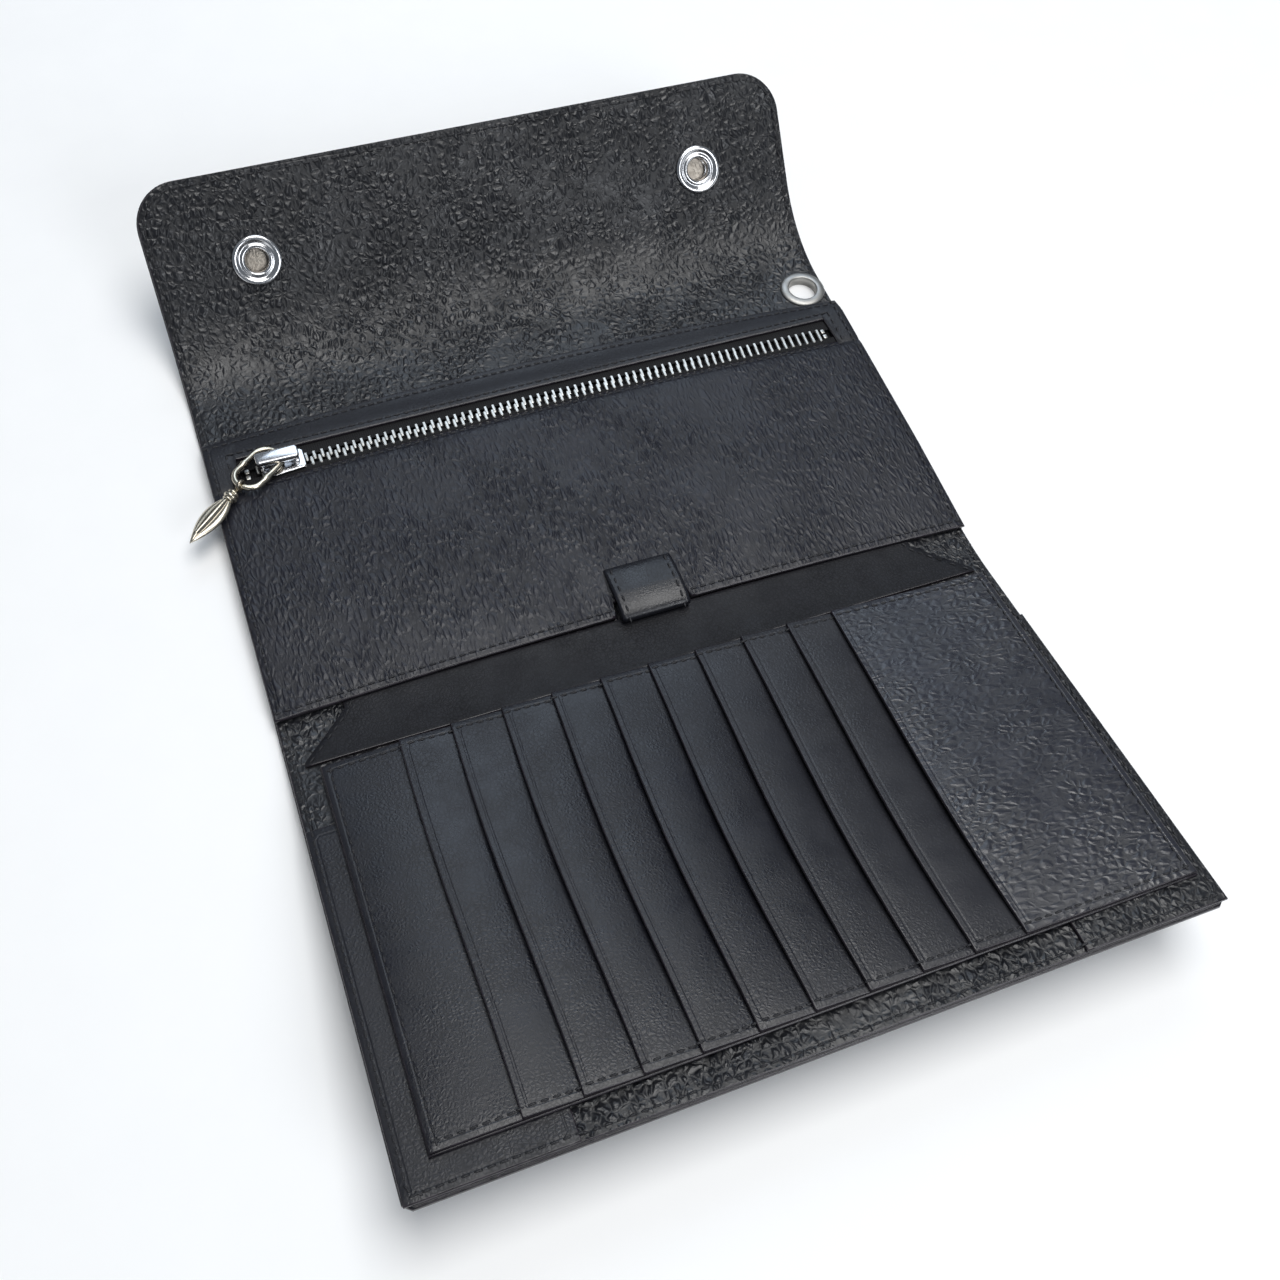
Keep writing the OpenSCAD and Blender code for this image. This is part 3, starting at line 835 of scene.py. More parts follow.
def leaf_height(i, x, s):
    """Top of card piece i: 0 is the plain first piece and SLOTS + 1 the wide last one."""
    v = np.clip((s - LEAF_LOW) / (LEAF_TOP - LEAF_LOW), 0, 1)
    open_v = np.sin(math.pi * v ** 0.85) ** 0.8
    if i == 0:
        u = (x - LEAF_L) / FIRST_W
        return CARD_BASE + CARD_T + 0.5 * open_v * np.clip(4 * u * (1 - u), -0.3, 1)
    wide = i == SLOTS + 1
    u = (x - slot_edge(i - 1, s)) / (WIDE_W if wide else PITCH)
    rise = CARD_T + 0.05 + GAPE[i - 1] * open_v
    belly = 0.9 if wide else 0.42
    fall = np.clip(1 - u * 1.4, 0, 1) ** 1.5 if wide else np.clip(1 - u, -0.4, 1)
    return CARD_BASE + CARD_T + rise * fall + belly * open_v * np.clip(4 * u * (1 - u), -0.2, 1)


def card_piece(i):
    """Piece i, from its own free edge to a lap under the next one."""
    left = level(LEAF_L) if i == 0 else lambda s: slot_edge(i - 1, s)
    right = level(LEAF_R) if i > SLOTS else lambda s: slot_edge(i, s) + LAP
    if i == 0:
        columns = spaced(0, 1, 0.06)
    elif i <= SLOTS:
        columns = np.concatenate([[0, 0.03, 0.06, 0.1, 0.14], np.linspace(0.2, 1, 12)])
    else:
        columns = np.concatenate([[0, 0.01, 0.02, 0.035, 0.05], np.linspace(0.08, 1, 26)])
    rows = spaced(0, 1, 0.02)
    guess = LEAF_LOW + (LEAF_TOP - LEAF_LOW) * rows
    X = left(guess)[None, :] * (1 - columns[:, None]) + right(guess)[None, :] * columns[:, None]
    S = LEAF_LOW + (leaf_bow(X[:, -1])[:, None] - LEAF_LOW) * rows[None, :]

    def top(x, s):
        return leaf_height(i, x, s)

    def bottom(x, s):
        sewn = np.minimum(s - LEAF_LOW, leaf_bow(x) - s) < 0.6
        under = leaf_height(i, x, s) - CARD_T
        return np.where(sewn, CARD_BASE - 0.05, np.maximum(under, CARD_BASE - 0.05))

    name = "card_first" if i == 0 else "card_wide" if i == SLOTS + 1 else f"card_{i}"
    piece = slab(name + "_hide", X, S, top, bottom, 0.28)
    hide = WIDE_HIDE if i == SLOTS + 1 else CARD_HIDE
    return finish_piece(piece, hide, "card_leaf", (name,))


for i in range(SLOTS + 2):
    card_piece(i)
columns = spaced(LEAF_L - 0.3, LEAF_R + 0.3, 3.0)
X, S = ruled(columns, level(LEAF_LOW - 0.3), lambda x: leaf_bow(x) + 0.3, np.linspace(0, 1, 30))
backing = slab("leaf_backing_hide", X, S, CARD_BASE, LINER_TOP + 1.12, 0.3)
finish_piece(backing, PLAIN_HIDE, "card_leaf", ("leaf_backing",))
print("slots every", round(PITCH, 2), "mm")

# %% [markdown]
# ## The coin pocket
# The pocket's face is one grained piece across the whole width, padded by the coin space behind
# it, so it is crowned and lies down at its stitched edges. Its lower edge is notched for the pen
# loop. Above the zip a smooth band closes the pocket, cut out as a window round the teeth.

# %% Pocket face, band and lining
RIM_TOP = 4.2
FACE_T = 1.2
ZIP_S = 201.4
WINDOW_LOW, WINDOW_HIGH = ZIP_S - 4.6, ZIP_S + 4.4
WINDOW_L, WINDOW_R = -HALF_W + 8.5, HALF_W - 7.5
LOOP_L, LOOP_R = -5.6, 14.6
NOTCH_S = 141.2


def ease(x, a, b):
    t = np.clip((x - a) / (b - a), 0, 1)
    return t * t * (3 - 2 * t)


def pocket_low(x):
    """The pocket's lower edge, with the notch for the pen loop."""
    bow = POCKET_LOW + 2.2 * (1 - (x / HALF_W) ** 2) - 0.6
    side = ease(x, LOOP_L - 0.6, LOOP_L) * (1 - ease(x, LOOP_R, LOOP_R + 0.6))
    return bow + (NOTCH_S - 10.5 - bow) * side


def pocket_high(x):
    return POCKET_TOP + 0.6 + 2.3 * np.clip(1 - (np.abs(x - 8) / 84) ** 2, 0, 1)


def pocket_crown(x, s):
    """Top of the pocket's face: pressed at its edges, full in the middle."""
    side = np.clip((HALF_W - np.abs(x)) / 16, 0, 1)
    low = np.clip((s - POCKET_LOW) / 16, 0, 1)
    high = np.clip((pocket_high(x) - s) / 9, 0, 1)
    full = (side * (2 - side)) * (low * (2 - low)) * (high * (2 - high)) ** 0.7
    edge = 4.4 + 1.0 * np.clip((s - POCKET_LOW) / 30, 0, 1)
    lip = 0.78 * (1 - ease(pocket_high(x) - s, 0.0, 3.2))
    return edge - lip + 0.45 * full + 0.12 * np.sin(x / 17.0 + s / 23.0) * full


columns = spaced(-HALF_W + 0.2, HALF_W - 0.2, 1.9, (LOOP_L - 0.6, LOOP_L, LOOP_R, LOOP_R + 0.6))
X, S = ruled(columns, pocket_low, pocket_high, np.linspace(0, 1, 44))
face = slab("pocket_face_hide", X, S, pocket_crown, lambda x, s: pocket_crown(x, s) - FACE_T, 0.45)
finish_piece(face, POCKET_HIDE, "middle_panel", ("pocket_face",))


def band_top(x):
    return 213.6 + 4.0 * (1 - (np.abs(x + 5) / HALF_W) ** 2.2)


def band_low(x):
    inside = ease(x, WINDOW_L - 1.0, WINDOW_L) * (1 - ease(x, WINDOW_R, WINDOW_R + 1.0))
    return (POCKET_TOP - 4.0) * (1 - inside) + (WINDOW_HIGH + 0.6 * (1 - (x / HALF_W) ** 2)) * inside


def band_height(x, s):
    down = ease(s, 207.0, 216.0)
    return (RIM_TOP + 1.0) * (1 - down) + (LINER_TOP + 1.15) * down - 0.9 * (1 - ease(s, 193.0, 197.0))


columns = spaced(-HALF_W + 0.25, HALF_W - 0.25, 2.4, (WINDOW_L - 1.0, WINDOW_L, WINDOW_R, WINDOW_R + 1.0))
X, S = ruled(columns, band_low, band_top, np.linspace(0, 1, 12))
band = slab(
    "zip_band_hide", X, S, band_height,
    lambda x, s: np.maximum(band_height(x, s) - 1.05, LINER_TOP - 0.1), 0.3)
finish_piece(band, PLAIN_HIDE, "middle_panel", ("zip_band",))

columns = spaced(-HALF_W + 0.5, HALF_W - 0.5, 2.5, (LOOP_L - 1.2, LOOP_L - 0.6, LOOP_R + 0.6, LOOP_R + 1.2))
X, S = ruled(columns, lambda x: pocket_low(x) + 0.4, level(210.0), np.linspace(0, 1, 30))
lining = slab("pocket_lining_cloth", X, S, LINER_TOP + 0.4, LINER_TOP - 0.05, 0.15)
finish_piece(lining, ZIP_TAPE, "middle_panel", ("pocket_lining", "pocket_rim"))
print("pocket", round(pocket_low(np.array([0.0]))[0], 1), "to", round(pocket_high(np.array([0.0]))[0], 1))

# %% [markdown]
# ## The zip
# Each tooth is a small metal clip on the tape's beaded edge, and the two rows alternate so that
# they lock. That is a shape repeated along a line, so Geometry Nodes place it: one tooth, made
# once in mesh code, goes on every point of a resampled line.


# %% A tree that repeats one piece along a path
def build_repeat_tree():
    """Geometry Nodes: copies of a piece every so many metres along a path, upright on it."""
    tree = bpy.data.node_groups.new("repeat_along_path", "GeometryNodeTree")
    kinds = {"Path": "Geometry", "Piece": "Object", "Pitch": "Float", "Uneven": "Float", "Finish": "Material"}
    for name, kind in kinds.items():
        tree.interface.new_socket(name, in_out="INPUT", socket_type="NodeSocket" + kind)
    tree.interface.new_socket("Pieces", in_out="OUTPUT", socket_type="NodeSocketGeometry")
    n = tree.nodes
    given, result = n.new("NodeGroupInput"), n.new("NodeGroupOutput")
    curve, even = n.new("GeometryNodeMeshToCurve"), n.new("GeometryNodeResampleCurve")
    even.mode = "LENGTH"
    along, up = n.new("GeometryNodeInputTangent"), n.new("GeometryNodeInputNamedAttribute")
    up.data_type = "FLOAT_VECTOR"
    up.inputs["Name"].default_value = "up"
    turn = n.new("FunctionNodeAxesToRotation")
    turn.primary_axis, turn.secondary_axis = "Z", "X"
    jitter = n.new("FunctionNodeRandomValue")
    jitter.data_type = "FLOAT_VECTOR"
    jitter.inputs["Seed"].default_value = 7
    minus = n.new("ShaderNodeMath")
    minus.operation = "MULTIPLY"
    minus.inputs[1].default_value = -1.0
    swing = n.new("FunctionNodeEulerToRotation")
    both = n.new("FunctionNodeRotateRotation")
    both.rotation_space = "LOCAL"
    copies, info = n.new("GeometryNodeInstanceOnPoints"), n.new("GeometryNodeObjectInfo")
    real, paint = n.new("GeometryNodeRealizeInstances"), n.new("GeometryNodeSetMaterial")
    for source, out, target, slot in (
        (given, "Path", curve, "Mesh"),
        (curve, "Curve", even, "Curve"),
        (given, "Pitch", even, "Length"),
        (up, "Attribute", turn, "Primary Axis"),
        (along, "Tangent", turn, "Secondary Axis"),
        (given, "Uneven", jitter, "Max"),
        (given, "Uneven", minus, 0),
        (minus, 0, jitter, "Min"),
        (jitter, "Value", swing, "Euler"),
        (turn, "Rotation", both, "Rotation"),
        (swing, "Rotation", both, "Rotate By"),
        (even, "Curve", copies, "Points"),
        (given, "Piece", info, "Object"),
        (info, "Geometry", copies, "Instance"),
        (both, "Rotation", copies, "Rotation"),
        (copies, "Instances", real, "Geometry"),
        (real, "Geometry", paint, "Geometry"),
        (given, "Finish", paint, "Material"),
        (paint, "Geometry", result, "Pieces"),
    ):
        tree.links.new(source.outputs[out], target.inputs[slot])
    return tree


REPEAT = build_repeat_tree()


def repeat_along(name, paths, piece, pitch, material, uneven=0.0):
    """A plain mesh of copies of piece along paths, lists of flat (x, s, h) points in mm."""
    points, ups, edges = [], [], []
    for path in paths:
        path = np.array(path, float)
        first = len(points)
        places = lay(path[:, 0], path[:, 1], path[:, 2])
        above = lay(path[:, 0], path[:, 1], path[:, 2] + 1.0) - places
        points += places.tolist()
        ups += (above / MM).tolist()
        edges += [(first + k, first + k + 1) for k in range(len(path) - 1)]
    mesh = bpy.data.meshes.new(name + "_path")
    mesh.from_pydata(points, edges, [])
    above = mesh.attributes.new("up", "FLOAT_VECTOR", "POINT")
    above.data.foreach_set("vector", np.array(ups, np.float32).ravel())
    holder = show(name + "_path", mesh)
    modifier = holder.modifiers.new("repeat", "NODES")
    modifier.node_group = REPEAT
    inputs = {i.name: i.identifier for i in REPEAT.interface.items_tree if i.in_out == "INPUT"}
    given = {"Piece": piece, "Pitch": pitch * MM, "Uneven": uneven, "Finish": material}
    for label, value in given.items():
        modifier[inputs[label]] = value
    bpy.context.view_layer.update()
    ready = holder.evaluated_get(bpy.context.evaluated_depsgraph_get())
    result = bpy.data.meshes.new_from_object(ready)
    bpy.data.objects.remove(holder)
    result.materials.clear()
    result.materials.append(material)
    result.polygons.foreach_set("material_index", np.zeros(len(result.polygons), np.int32))
    row = show(name, result)
    if "up" in row.data.attributes:
        row.data.attributes.remove(row.data.attributes["up"])
    return row


MODELS = []


def model_piece(name, points, faces, smooth=True):
    """A small mesh that is copied by the tree and not shown itself; points in mm."""
    MODELS.append(bpy.data.objects.new(name, mesh_of(name, in_metres(points), faces, smooth)))
    return MODELS[-1]


def stitch_model(sections, sides=8):
    """A plump stitch from (x, half width, half height, centre z) sections along X."""
    points = []
    for x, w, h, z in sections:
        for k in range(sides):
            a = 2 * math.pi * (k + 0.5) / sides
            points.append((x, w * math.cos(a), z + h * math.sin(a)))
    return model_piece("stitch", points, tube_faces(len(sections), sides))


print("inputs of the tree:", [i.name for i in REPEAT.interface.items_tree if i.in_out == "INPUT"])

# %% [markdown]
# ## Teeth and tape
# The two rows stand half a pitch apart, on a chain that bows a little. The lower row is the upper
# one mirrored, so its faces are turned round to point outward again.


# %% Teeth and tape
TOOTH_PITCH = 2.27
TEETH_H = 4.0
TEETH_L, TEETH_R = WINDOW_L + 5.0, WINDOW_R - 3.5


def tooth_model(side):
    """One tooth seen from its row: a root clipped on the tape and a nib that locks."""
    sections = [(2.35, 0.32, 0.3), (2.1, 0.5, 0.5), (0.6, 0.5, 0.52),
                (0.1, 0.46, 0.5), (-0.45, 0.4, 0.45), (-0.6, 0.26, 0.3)]
    outline = [(-1, -1), (1, -1), (1, 0.55), (0.6, 1), (-0.6, 1), (-1, 0.55)]
    points = [(sx * w, side * y, sz * h) for y, w, h in sections for sx, sz in outline]
    faces = tube_faces(len(sections), len(outline))
    if side > 0:
        faces = [f[::-1] for f in faces]
    return model_piece(f"tooth_{'upper' if side > 0 else 'lower'}", points, faces, smooth=False)


def zip_curve(x):
    """The chain bows a little between its ends."""
    u = (x - 8) / 79
    return ZIP_S + 0.8 - 1.2 * u * u


for side, name, offset in ((1, "teeth_upper", 0.0), (-1, "teeth_lower", TOOTH_PITCH / 2)):
    xs = np.arange(TEETH_L + offset, TEETH_R, TOOTH_PITCH / 2)
    path = [(x, zip_curve(x), TEETH_H) for x in xs]
    row = repeat_along(name + "_row", [path], tooth_model(side), TOOTH_PITCH, TEETH_METAL)
    finish_piece(row, TEETH_METAL, "middle_panel", (name,))

for side, name in ((1, "tape_upper"), (-1, "tape_lower")):
    columns = spaced(WINDOW_L - 0.5, WINDOW_R + 0.5, 3.0)
    near = lambda x: zip_curve(x) + side * 1.6
    far = level(ZIP_S + side * 8.5)
    pair = (near, far) if side > 0 else (far, near)
    X, S = ruled(columns, *pair, np.linspace(0, 1, 6))
    tape = slab(name + "_cloth", X, S, TEETH_H + 0.2, TEETH_H - 0.2, 0.1)
    finish_piece(tape, ZIP_TAPE, "middle_panel", (name,))
print("teeth a row:", int((TEETH_R - TEETH_L) / TOOTH_PITCH))

# %% [markdown]
# ## Slider and crown
# The slider is a plated casting: a plate over the chain and one under it, and on top a crown, a
# round-cornered bar on two feet that the pull's ring hangs from. Each is drawn as an outline,
# given thickness, and its edges are rolled with a Bevel modifier.


# %% Castings with rolled edges
def casting(name, solids, bevel, material, body, replaces=(), segments=3):
    """One piece from boxes and prisms: each solid is (outline points, low z, high z) in mm."""
    points, faces = [], []
    for outline, low, high in solids:
        first, k = len(points), len(outline)
        points += [(x, y, low) for x, y in outline] + [(x, y, high) for x, y in outline]
        faces.append(tuple(first + i for i in range(k))[::-1])
        faces.append(tuple(first + k + i for i in range(k)))
        for i in range(k):
            j = (i + 1) % k
            faces.append((first + i, first + j, first + k + j, first + k + i))
    piece = show(name, mesh_of(name, in_metres(points), faces))
    roll = piece.modifiers.new("roll", "BEVEL")
    roll.width, roll.segments, roll.limit_method = bevel * MM, segments, "ANGLE"
    roll.harden_normals = False
    return finish_piece(piece, material, body, replaces)


def rectangle(cx, cy, w, d, r=0.0, steps=5):
    """A rectangle's outline about its centre, with round corners when r is given."""
    if r <= 0:
        return [(cx + sx * w / 2, cy + sy * d / 2) for sx, sy in ((-1, -1), (1, -1), (1, 1), (-1, 1))]
    points = []
    for quarter, (sx, sy) in enumerate(((1, -1), (1, 1), (-1, 1), (-1, -1))):
        for k in range(steps + 1):
            a = -math.pi / 2 + quarter * math.pi / 2 + k * math.pi / 2 / steps
            points.append((cx + sx * (w / 2 - r) + r * math.cos(a), cy + sy * (d / 2 - r) + r * math.sin(a)))
    return points


slider_low, slider_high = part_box("slider_body")
crown_low, crown_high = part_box("slider_crown")
SX, SY = (slider_low.x + slider_high.x) / 2 / MM, (slider_low.y + slider_high.y) / 2 / MM
SL = (slider_high.x - slider_low.x) / MM
PLATE_LOW, PLATE_HIGH = slider_low.z / MM, slider_high.z / MM
CX = (crown_low.x + crown_high.x) / 2 / MM
CROWN_TOP = crown_high.z / MM


def slider_outline(k):
    """A shield: broad shoulders where the rows part and a narrow tail where they join."""
    half = [(SL / 2, 2.6), (SL / 2 - 0.6, 3.2), (1.5, 3.5)]
    half += [(-SL / 2 + 3.4, 4.0), (-SL / 2 + 1.0, 3.3), (-SL / 2, 1.6)]
    return [(SX + x * k, SY - y * k) for x, y in half[::-1]] + [(SX + x * k, SY + y * k) for x, y in half]


casting("slider_plates", [
    (slider_outline(1.0), PLATE_HIGH - 0.65, PLATE_HIGH),
    (slider_outline(0.97), PLATE_LOW, PLATE_LOW + 0.5),
    (rectangle(SX - SL / 2 + 2.0, SY, 3.0, 0.4), PLATE_LOW + 0.4, PLATE_HIGH - 0.4),
], 0.22, CHROME, "slider", ("slider_body",))
casting("slider_crown_bar", [
    (rectangle(CX, SY, 11.8, 4.0, 1.0), CROWN_TOP - 1.35, CROWN_TOP + 0.35),
    (rectangle(CX - 5.0, SY, 1.6, 3.2), PLATE_HIGH - 0.2, CROWN_TOP - 1.0),
    (rectangle(CX + 5.0, SY, 1.6, 3.2), PLATE_HIGH - 0.2, CROWN_TOP - 1.0),
], 0.45, CHROME, "slider", ("slider_crown",))
print("slider length in mm:", round(SL, 1))

# %% [markdown]
# ## Stops
# Two small clips at each end keep the slider on the chain. They are laid out on the middle panel,
# which is flat, so the distance over the leather is only counted from its middle.

# %% Stops at the ends of the zip
stop_low, stop_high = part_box("zip_stops")
STOP_H = min(stop_high.z / MM, 4.7)
STOPS = []
for end in (stop_low.x / MM + 0.8, stop_high.x / MM - 0.8):
    for side in (-1, 1):
        clip = rectangle(end, zip_curve(end) - S_MID + side * 1.0, 1.2, 1.5, 0.3, 3)
        STOPS.append((clip, TEETH_H - 0.45, STOP_H))
casting("zip_stop_clips", STOPS, 0.18, TEETH_METAL, "middle_panel", ("zip_stops",), segments=2)
print("stops:", len(STOPS))
# %% [markdown]
# ## The pull
# The cast pull is a ring, a small beaded collar and a plain leaf-shaped drop with a rib down its
# middle. Round stock is swept along a line, and a `hollow` attribute marks the low places, where
# the casting keeps its tarnish.


# %% Swept wire
def frame_of_pull():
    """Where the pull hangs, where the drop hangs, and the way between them."""
    pivot = Vector(joints["pull_swing"]["pos_m"])
    far = Vector(joints["pendant_swing"]["pos_m"])
    along = far - pivot
    return pivot, far, along.normalized(), Vector((along.x, along.y, 0)).normalized()


PIVOT, FAR, PULL_WAY, PULL_LEVEL = frame_of_pull()
PULL_SIDE = Vector((0, 0, 1)).cross(PULL_LEVEL)


def add_mesh(name, points, faces, hollow=None, smooth=True):
    mesh = mesh_of(name, [tuple(p) for p in points], faces, smooth)
    if hollow is not None:
        low_places = mesh.attributes.new("hollow", "FLOAT", "POINT")
        low_places.data.foreach_set("value", np.array(hollow, np.float32))
    return show(name, mesh)


def wire(name, path, normal, width, height, sides=16, knots=()):
    """A closed loop of wire, width across the loop's plane and height out of it, in metres."""
    points, hollow = [], []
    count = len(path)
    for k, spot in enumerate(path):
        ahead = (path[(k + 1) % count] - path[k - 1]).normalized()
        out = ahead.cross(normal).normalized()
        swell = 1.0 + sum(a * math.exp(-(((k / count - c + 0.5) % 1 - 0.5) / w) ** 2) for c, w, a in knots)
        for q in range(sides):
            a = 2 * math.pi * q / sides
            c, n = math.cos(a), math.sin(a)
            points.append(spot + out * (c * width * swell) + normal * (n * height * swell))
            hollow.append(0.75 * max(0.0, -c) + 0.25 * max(0.0, -n))
    piece = add_mesh(name, points, tube_faces(count, sides, closed=True), hollow)
    fix_outside(piece)
    return piece


ring_up = PULL_SIDE.cross(PULL_WAY)
if ring_up.z < 0:
    ring_up = -ring_up
RING_R, RING_RUN = 4.0 * MM, 7.0 * MM
def on_ring(along, turn):
    """A point of the ring's centre line: turn runs round an end centred at along."""
    return PIVOT + PULL_WAY * (along + RING_R * math.cos(turn)) + PULL_SIDE * (RING_R * math.sin(turn))


path = [on_ring(0, math.pi / 2 + math.pi * k / 24) for k in range(24)]
path += [PIVOT + PULL_WAY * (RING_RUN * k / 8) - PULL_SIDE * RING_R for k in range(8)]
path += [on_ring(RING_RUN, -math.pi / 2 + math.pi * k / 24) for k in range(24)]
path += [PIVOT + PULL_WAY * (RING_RUN * (1 - k / 8)) + PULL_SIDE * RING_R for k in range(8)]
beads = ((0.45, 0.012, 0.35), (0.91, 0.012, 0.35))
ring = wire("pull_ring_cast", path, ring_up, 0.85 * MM, 0.8 * MM, knots=beads)
finish_piece(ring, SILVER, "pull", ("pull_ring",))
print("ring of", len(path), "sections")

# %% [markdown]
# ## The drop
# The drop hangs from the ring by an eye. Its collar is turned from one profile, and the leaf is a
# lens-shaped grid, crowned on both faces, with a raised rib.

# %% The eye, the collar and the leaf
EYE_R = 1.4 * MM
eye_path = []
for k in range(32):
    a = 2 * math.pi * k / 32
    eye_path.append(FAR + PULL_LEVEL * (EYE_R * math.cos(a)) + Vector((0, 0, 1)) * (EYE_R * math.sin(a)))
eye = wire("pendant_eye_cast", eye_path, PULL_SIDE, 0.5 * MM, 0.55 * MM, sides=12)
finish_piece(eye, SILVER, "pendant")


def turned(name, profile, origin, axis, segments=48, hollow_of=None):
    """A closed turned form: profile is (distance along the axis, radius) in mm, from end to end."""
    axis = Vector(axis).normalized()
    across = axis.orthogonal().normalized()
    other = axis.cross(across)
    points, hollow = [], []
    for d, r in profile:
        for k in range(segments):
            a = 2 * math.pi * k / segments
            out = (across * math.cos(a) + other * math.sin(a)) * (max(r, 0.004) * MM)
            points.append(Vector(origin) + axis * (d * MM) + out)
            hollow.append(hollow_of(d, r) if hollow_of else 0.0)
    piece = add_mesh(name, points, tube_faces(len(profile), segments), hollow)
    fix_outside(piece)
    return piece


collar_profile = [
    (1.7, 0.0), (1.7, 0.75), (2.3, 0.72), (2.55, 1.1), (2.8, 1.45), (3.1, 1.6), (3.4, 1.45),
    (3.6, 1.15), (3.75, 1.5), (3.95, 1.8), (4.25, 1.95), (4.6, 1.95), (4.9, 1.8), (5.05, 1.6),
    (5.15, 1.25), (5.3, 1.5), (5.55, 1.6), (5.8, 1.4), (5.95, 0.9), (5.95, 0.0),
]


def collar_hollow(d, r):
    """The grooves between the collar's beads are dark."""
    return 1.0 if r < 1.3 and d > 2.4 else 0.15


collar = turned("pendant_collar_cast", collar_profile, FAR, PULL_LEVEL, 40, collar_hollow)
finish_piece(collar, SILVER, "pendant", ("pendant_eye",))


def leaf_drop():
    """A leaf with a raised rib: a lens outline, crowned on both faces."""
    length, half, rows, cols = 16.2, 3.1, 40, 16
    start = 5.6
    points, faces, hollow = [], [], []
    for side in (1, -1):
        for i in range(rows + 1):
            u = i / rows
            w = half * math.sin(math.pi * (0.09 + 0.91 * u) ** 0.86) ** 0.9 if u < 1 else 0.0
            fade = math.sin(math.pi * min(1, u * 1.05)) ** 0.5 if u < 0.95 else 0
            for j in range(cols + 1):
                v = 2 * j / cols - 1
                rib = 0.55 * math.exp(-((v * w / 0.42) ** 2)) * fade
                crown = 1.05 * (1 - v * v) ** 0.7 * min(1.0, w / 1.6)
                dip = 0.35 * math.exp(-(((abs(v) - 0.33) / 0.14) ** 2)) * min(1, w / 2)
                z = side * max(crown + rib - dip, 0.0)
                along = PULL_LEVEL * ((start + u * length) * MM)
                aside = PULL_SIDE * (v * max(w, 0.02) * MM)
                points.append(FAR + along + aside + Vector((0, 0, z * MM)))
                hollow.append(math.exp(-(((abs(v) - 0.33) / 0.16) ** 2)) * 0.9)
    grid = (rows + 1) * (cols + 1)
    for side in (0, 1):
        for i in range(rows):
            for j in range(cols):
                a = side * grid + i * (cols + 1) + j
                quad = (a, a + 1, a + cols + 2, a + cols + 1)
                faces.append(quad if side else quad[::-1])
    piece = add_mesh("pendant_leaf_cast", points, faces, hollow)
    fix_outside(piece, weld=0.00001)
    return finish_piece(piece, SILVER, "pendant", ("pendant_drop",))


leaf_drop()
# %% [markdown]
# ## Snaps and eyelet
# A ring snap shows a rolled chrome ring, a dished band and an inner collar round the hole that
# grips the stud. All of that is one profile turned on the snap's axis, as it would be stamped.


# %% Turned hardware
FRONT_UP = Vector((0, math.sin(SPINE_TURN), math.cos(SPINE_TURN)))
socket_profile = [
    (-2.35, 0.0), (-2.35, 3.85), (-0.15, 3.85), (-0.15, 6.7), (0.0, 6.95), (0.3, 7.05),
    (0.62, 7.0), (0.9, 6.8), (1.08, 6.45), (1.12, 6.05), (1.0, 5.65), (0.78, 5.35),
    (0.6, 5.1), (0.52, 4.85), (0.56, 4.65), (0.74, 4.5), (0.92, 4.3), (0.98, 4.05),
    (0.92, 3.8), (0.74, 3.55), (0.46, 3.38), (0.1, 3.3), (-2.2, 3.3), (-2.25, 0.0),
]
floor_profile = [
    (-2.22, 0.0), (-2.22, 3.1), (-2.16, 3.2), (-2.1, 3.1), (-2.06, 2.4), (-2.04, 1.6),
    (-2.03, 0.8), (-2.03, 0.0),
]
cap_profile = [
    (0.05, 0.0), (0.05, 7.2), (-0.1, 7.45), (-0.35, 7.5), (-0.6, 7.3), (-0.8, 6.7),
    (-0.92, 5.8), (-0.97, 4.5), (-1.0, 3.0), (-1.0, 0.0),
]
stud_profile = [
    (0.05, 0.0), (0.05, 5.3), (-0.1, 5.5), (-0.25, 5.45), (-0.35, 5.1), (-0.38, 3.4),
    (-0.5, 3.0), (-0.9, 2.75), (-1.6, 2.6), (-2.2, 2.7), (-2.7, 2.8), (-3.0, 2.65),
    (-3.15, 2.2), (-3.2, 1.2), (-3.2, 0.0),
]


def joined(name, pieces):
    """Several small meshes as one piece."""
    b = bmesh.new()
    for p in pieces:
        b.from_mesh(p.data)
    mesh = bpy.data.meshes.new(name)
    b.to_mesh(mesh)
    b.free()
    mesh.polygons.foreach_set("use_smooth", [True] * len(mesh.polygons))
    for p in pieces:
        bpy.data.objects.remove(p)
    return show(name, mesh)


def snap_pair(name, profile, s, h, up, sides, material, body, replaces=()):
    """The same turned form at both snaps, as one piece."""
    two = [turned(f"{name}_{k}", profile, lay(x, s, h), up, sides) for k, x in enumerate((-SNAP_X, SNAP_X))]
    return finish_piece(joined(name, two), material, body, replaces)


stud_low, stud_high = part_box("snap_studs")
stud_mid = (stud_low + stud_high) / 2
STUD_S = np.interp(stud_mid.y / MM + 0.3, RAIL_Y, RAIL_S)
snap_pair("snap_socket_rings", socket_profile, SNAP_S, LINER_TOP, FLAP_UP, 72, CHROME, "flap",
          ("snap_sockets",))
snap_pair("snap_socket_floors", floor_profile, SNAP_S, LINER_TOP, FLAP_UP, 48, SOCKET_FLOOR, "flap")
snap_pair("snap_cap_domes", cap_profile, SNAP_S, 0.0, FLAP_UP, 64, CHROME, "flap", ("snap_caps",))
snap_pair("snap_stud_posts", stud_profile, STUD_S, 0.0, FRONT_UP, 56, CHROME, "card_panel",
          ("snap_studs", "stud_rivets"))
print("studs at s", round(float(STUD_S), 2))


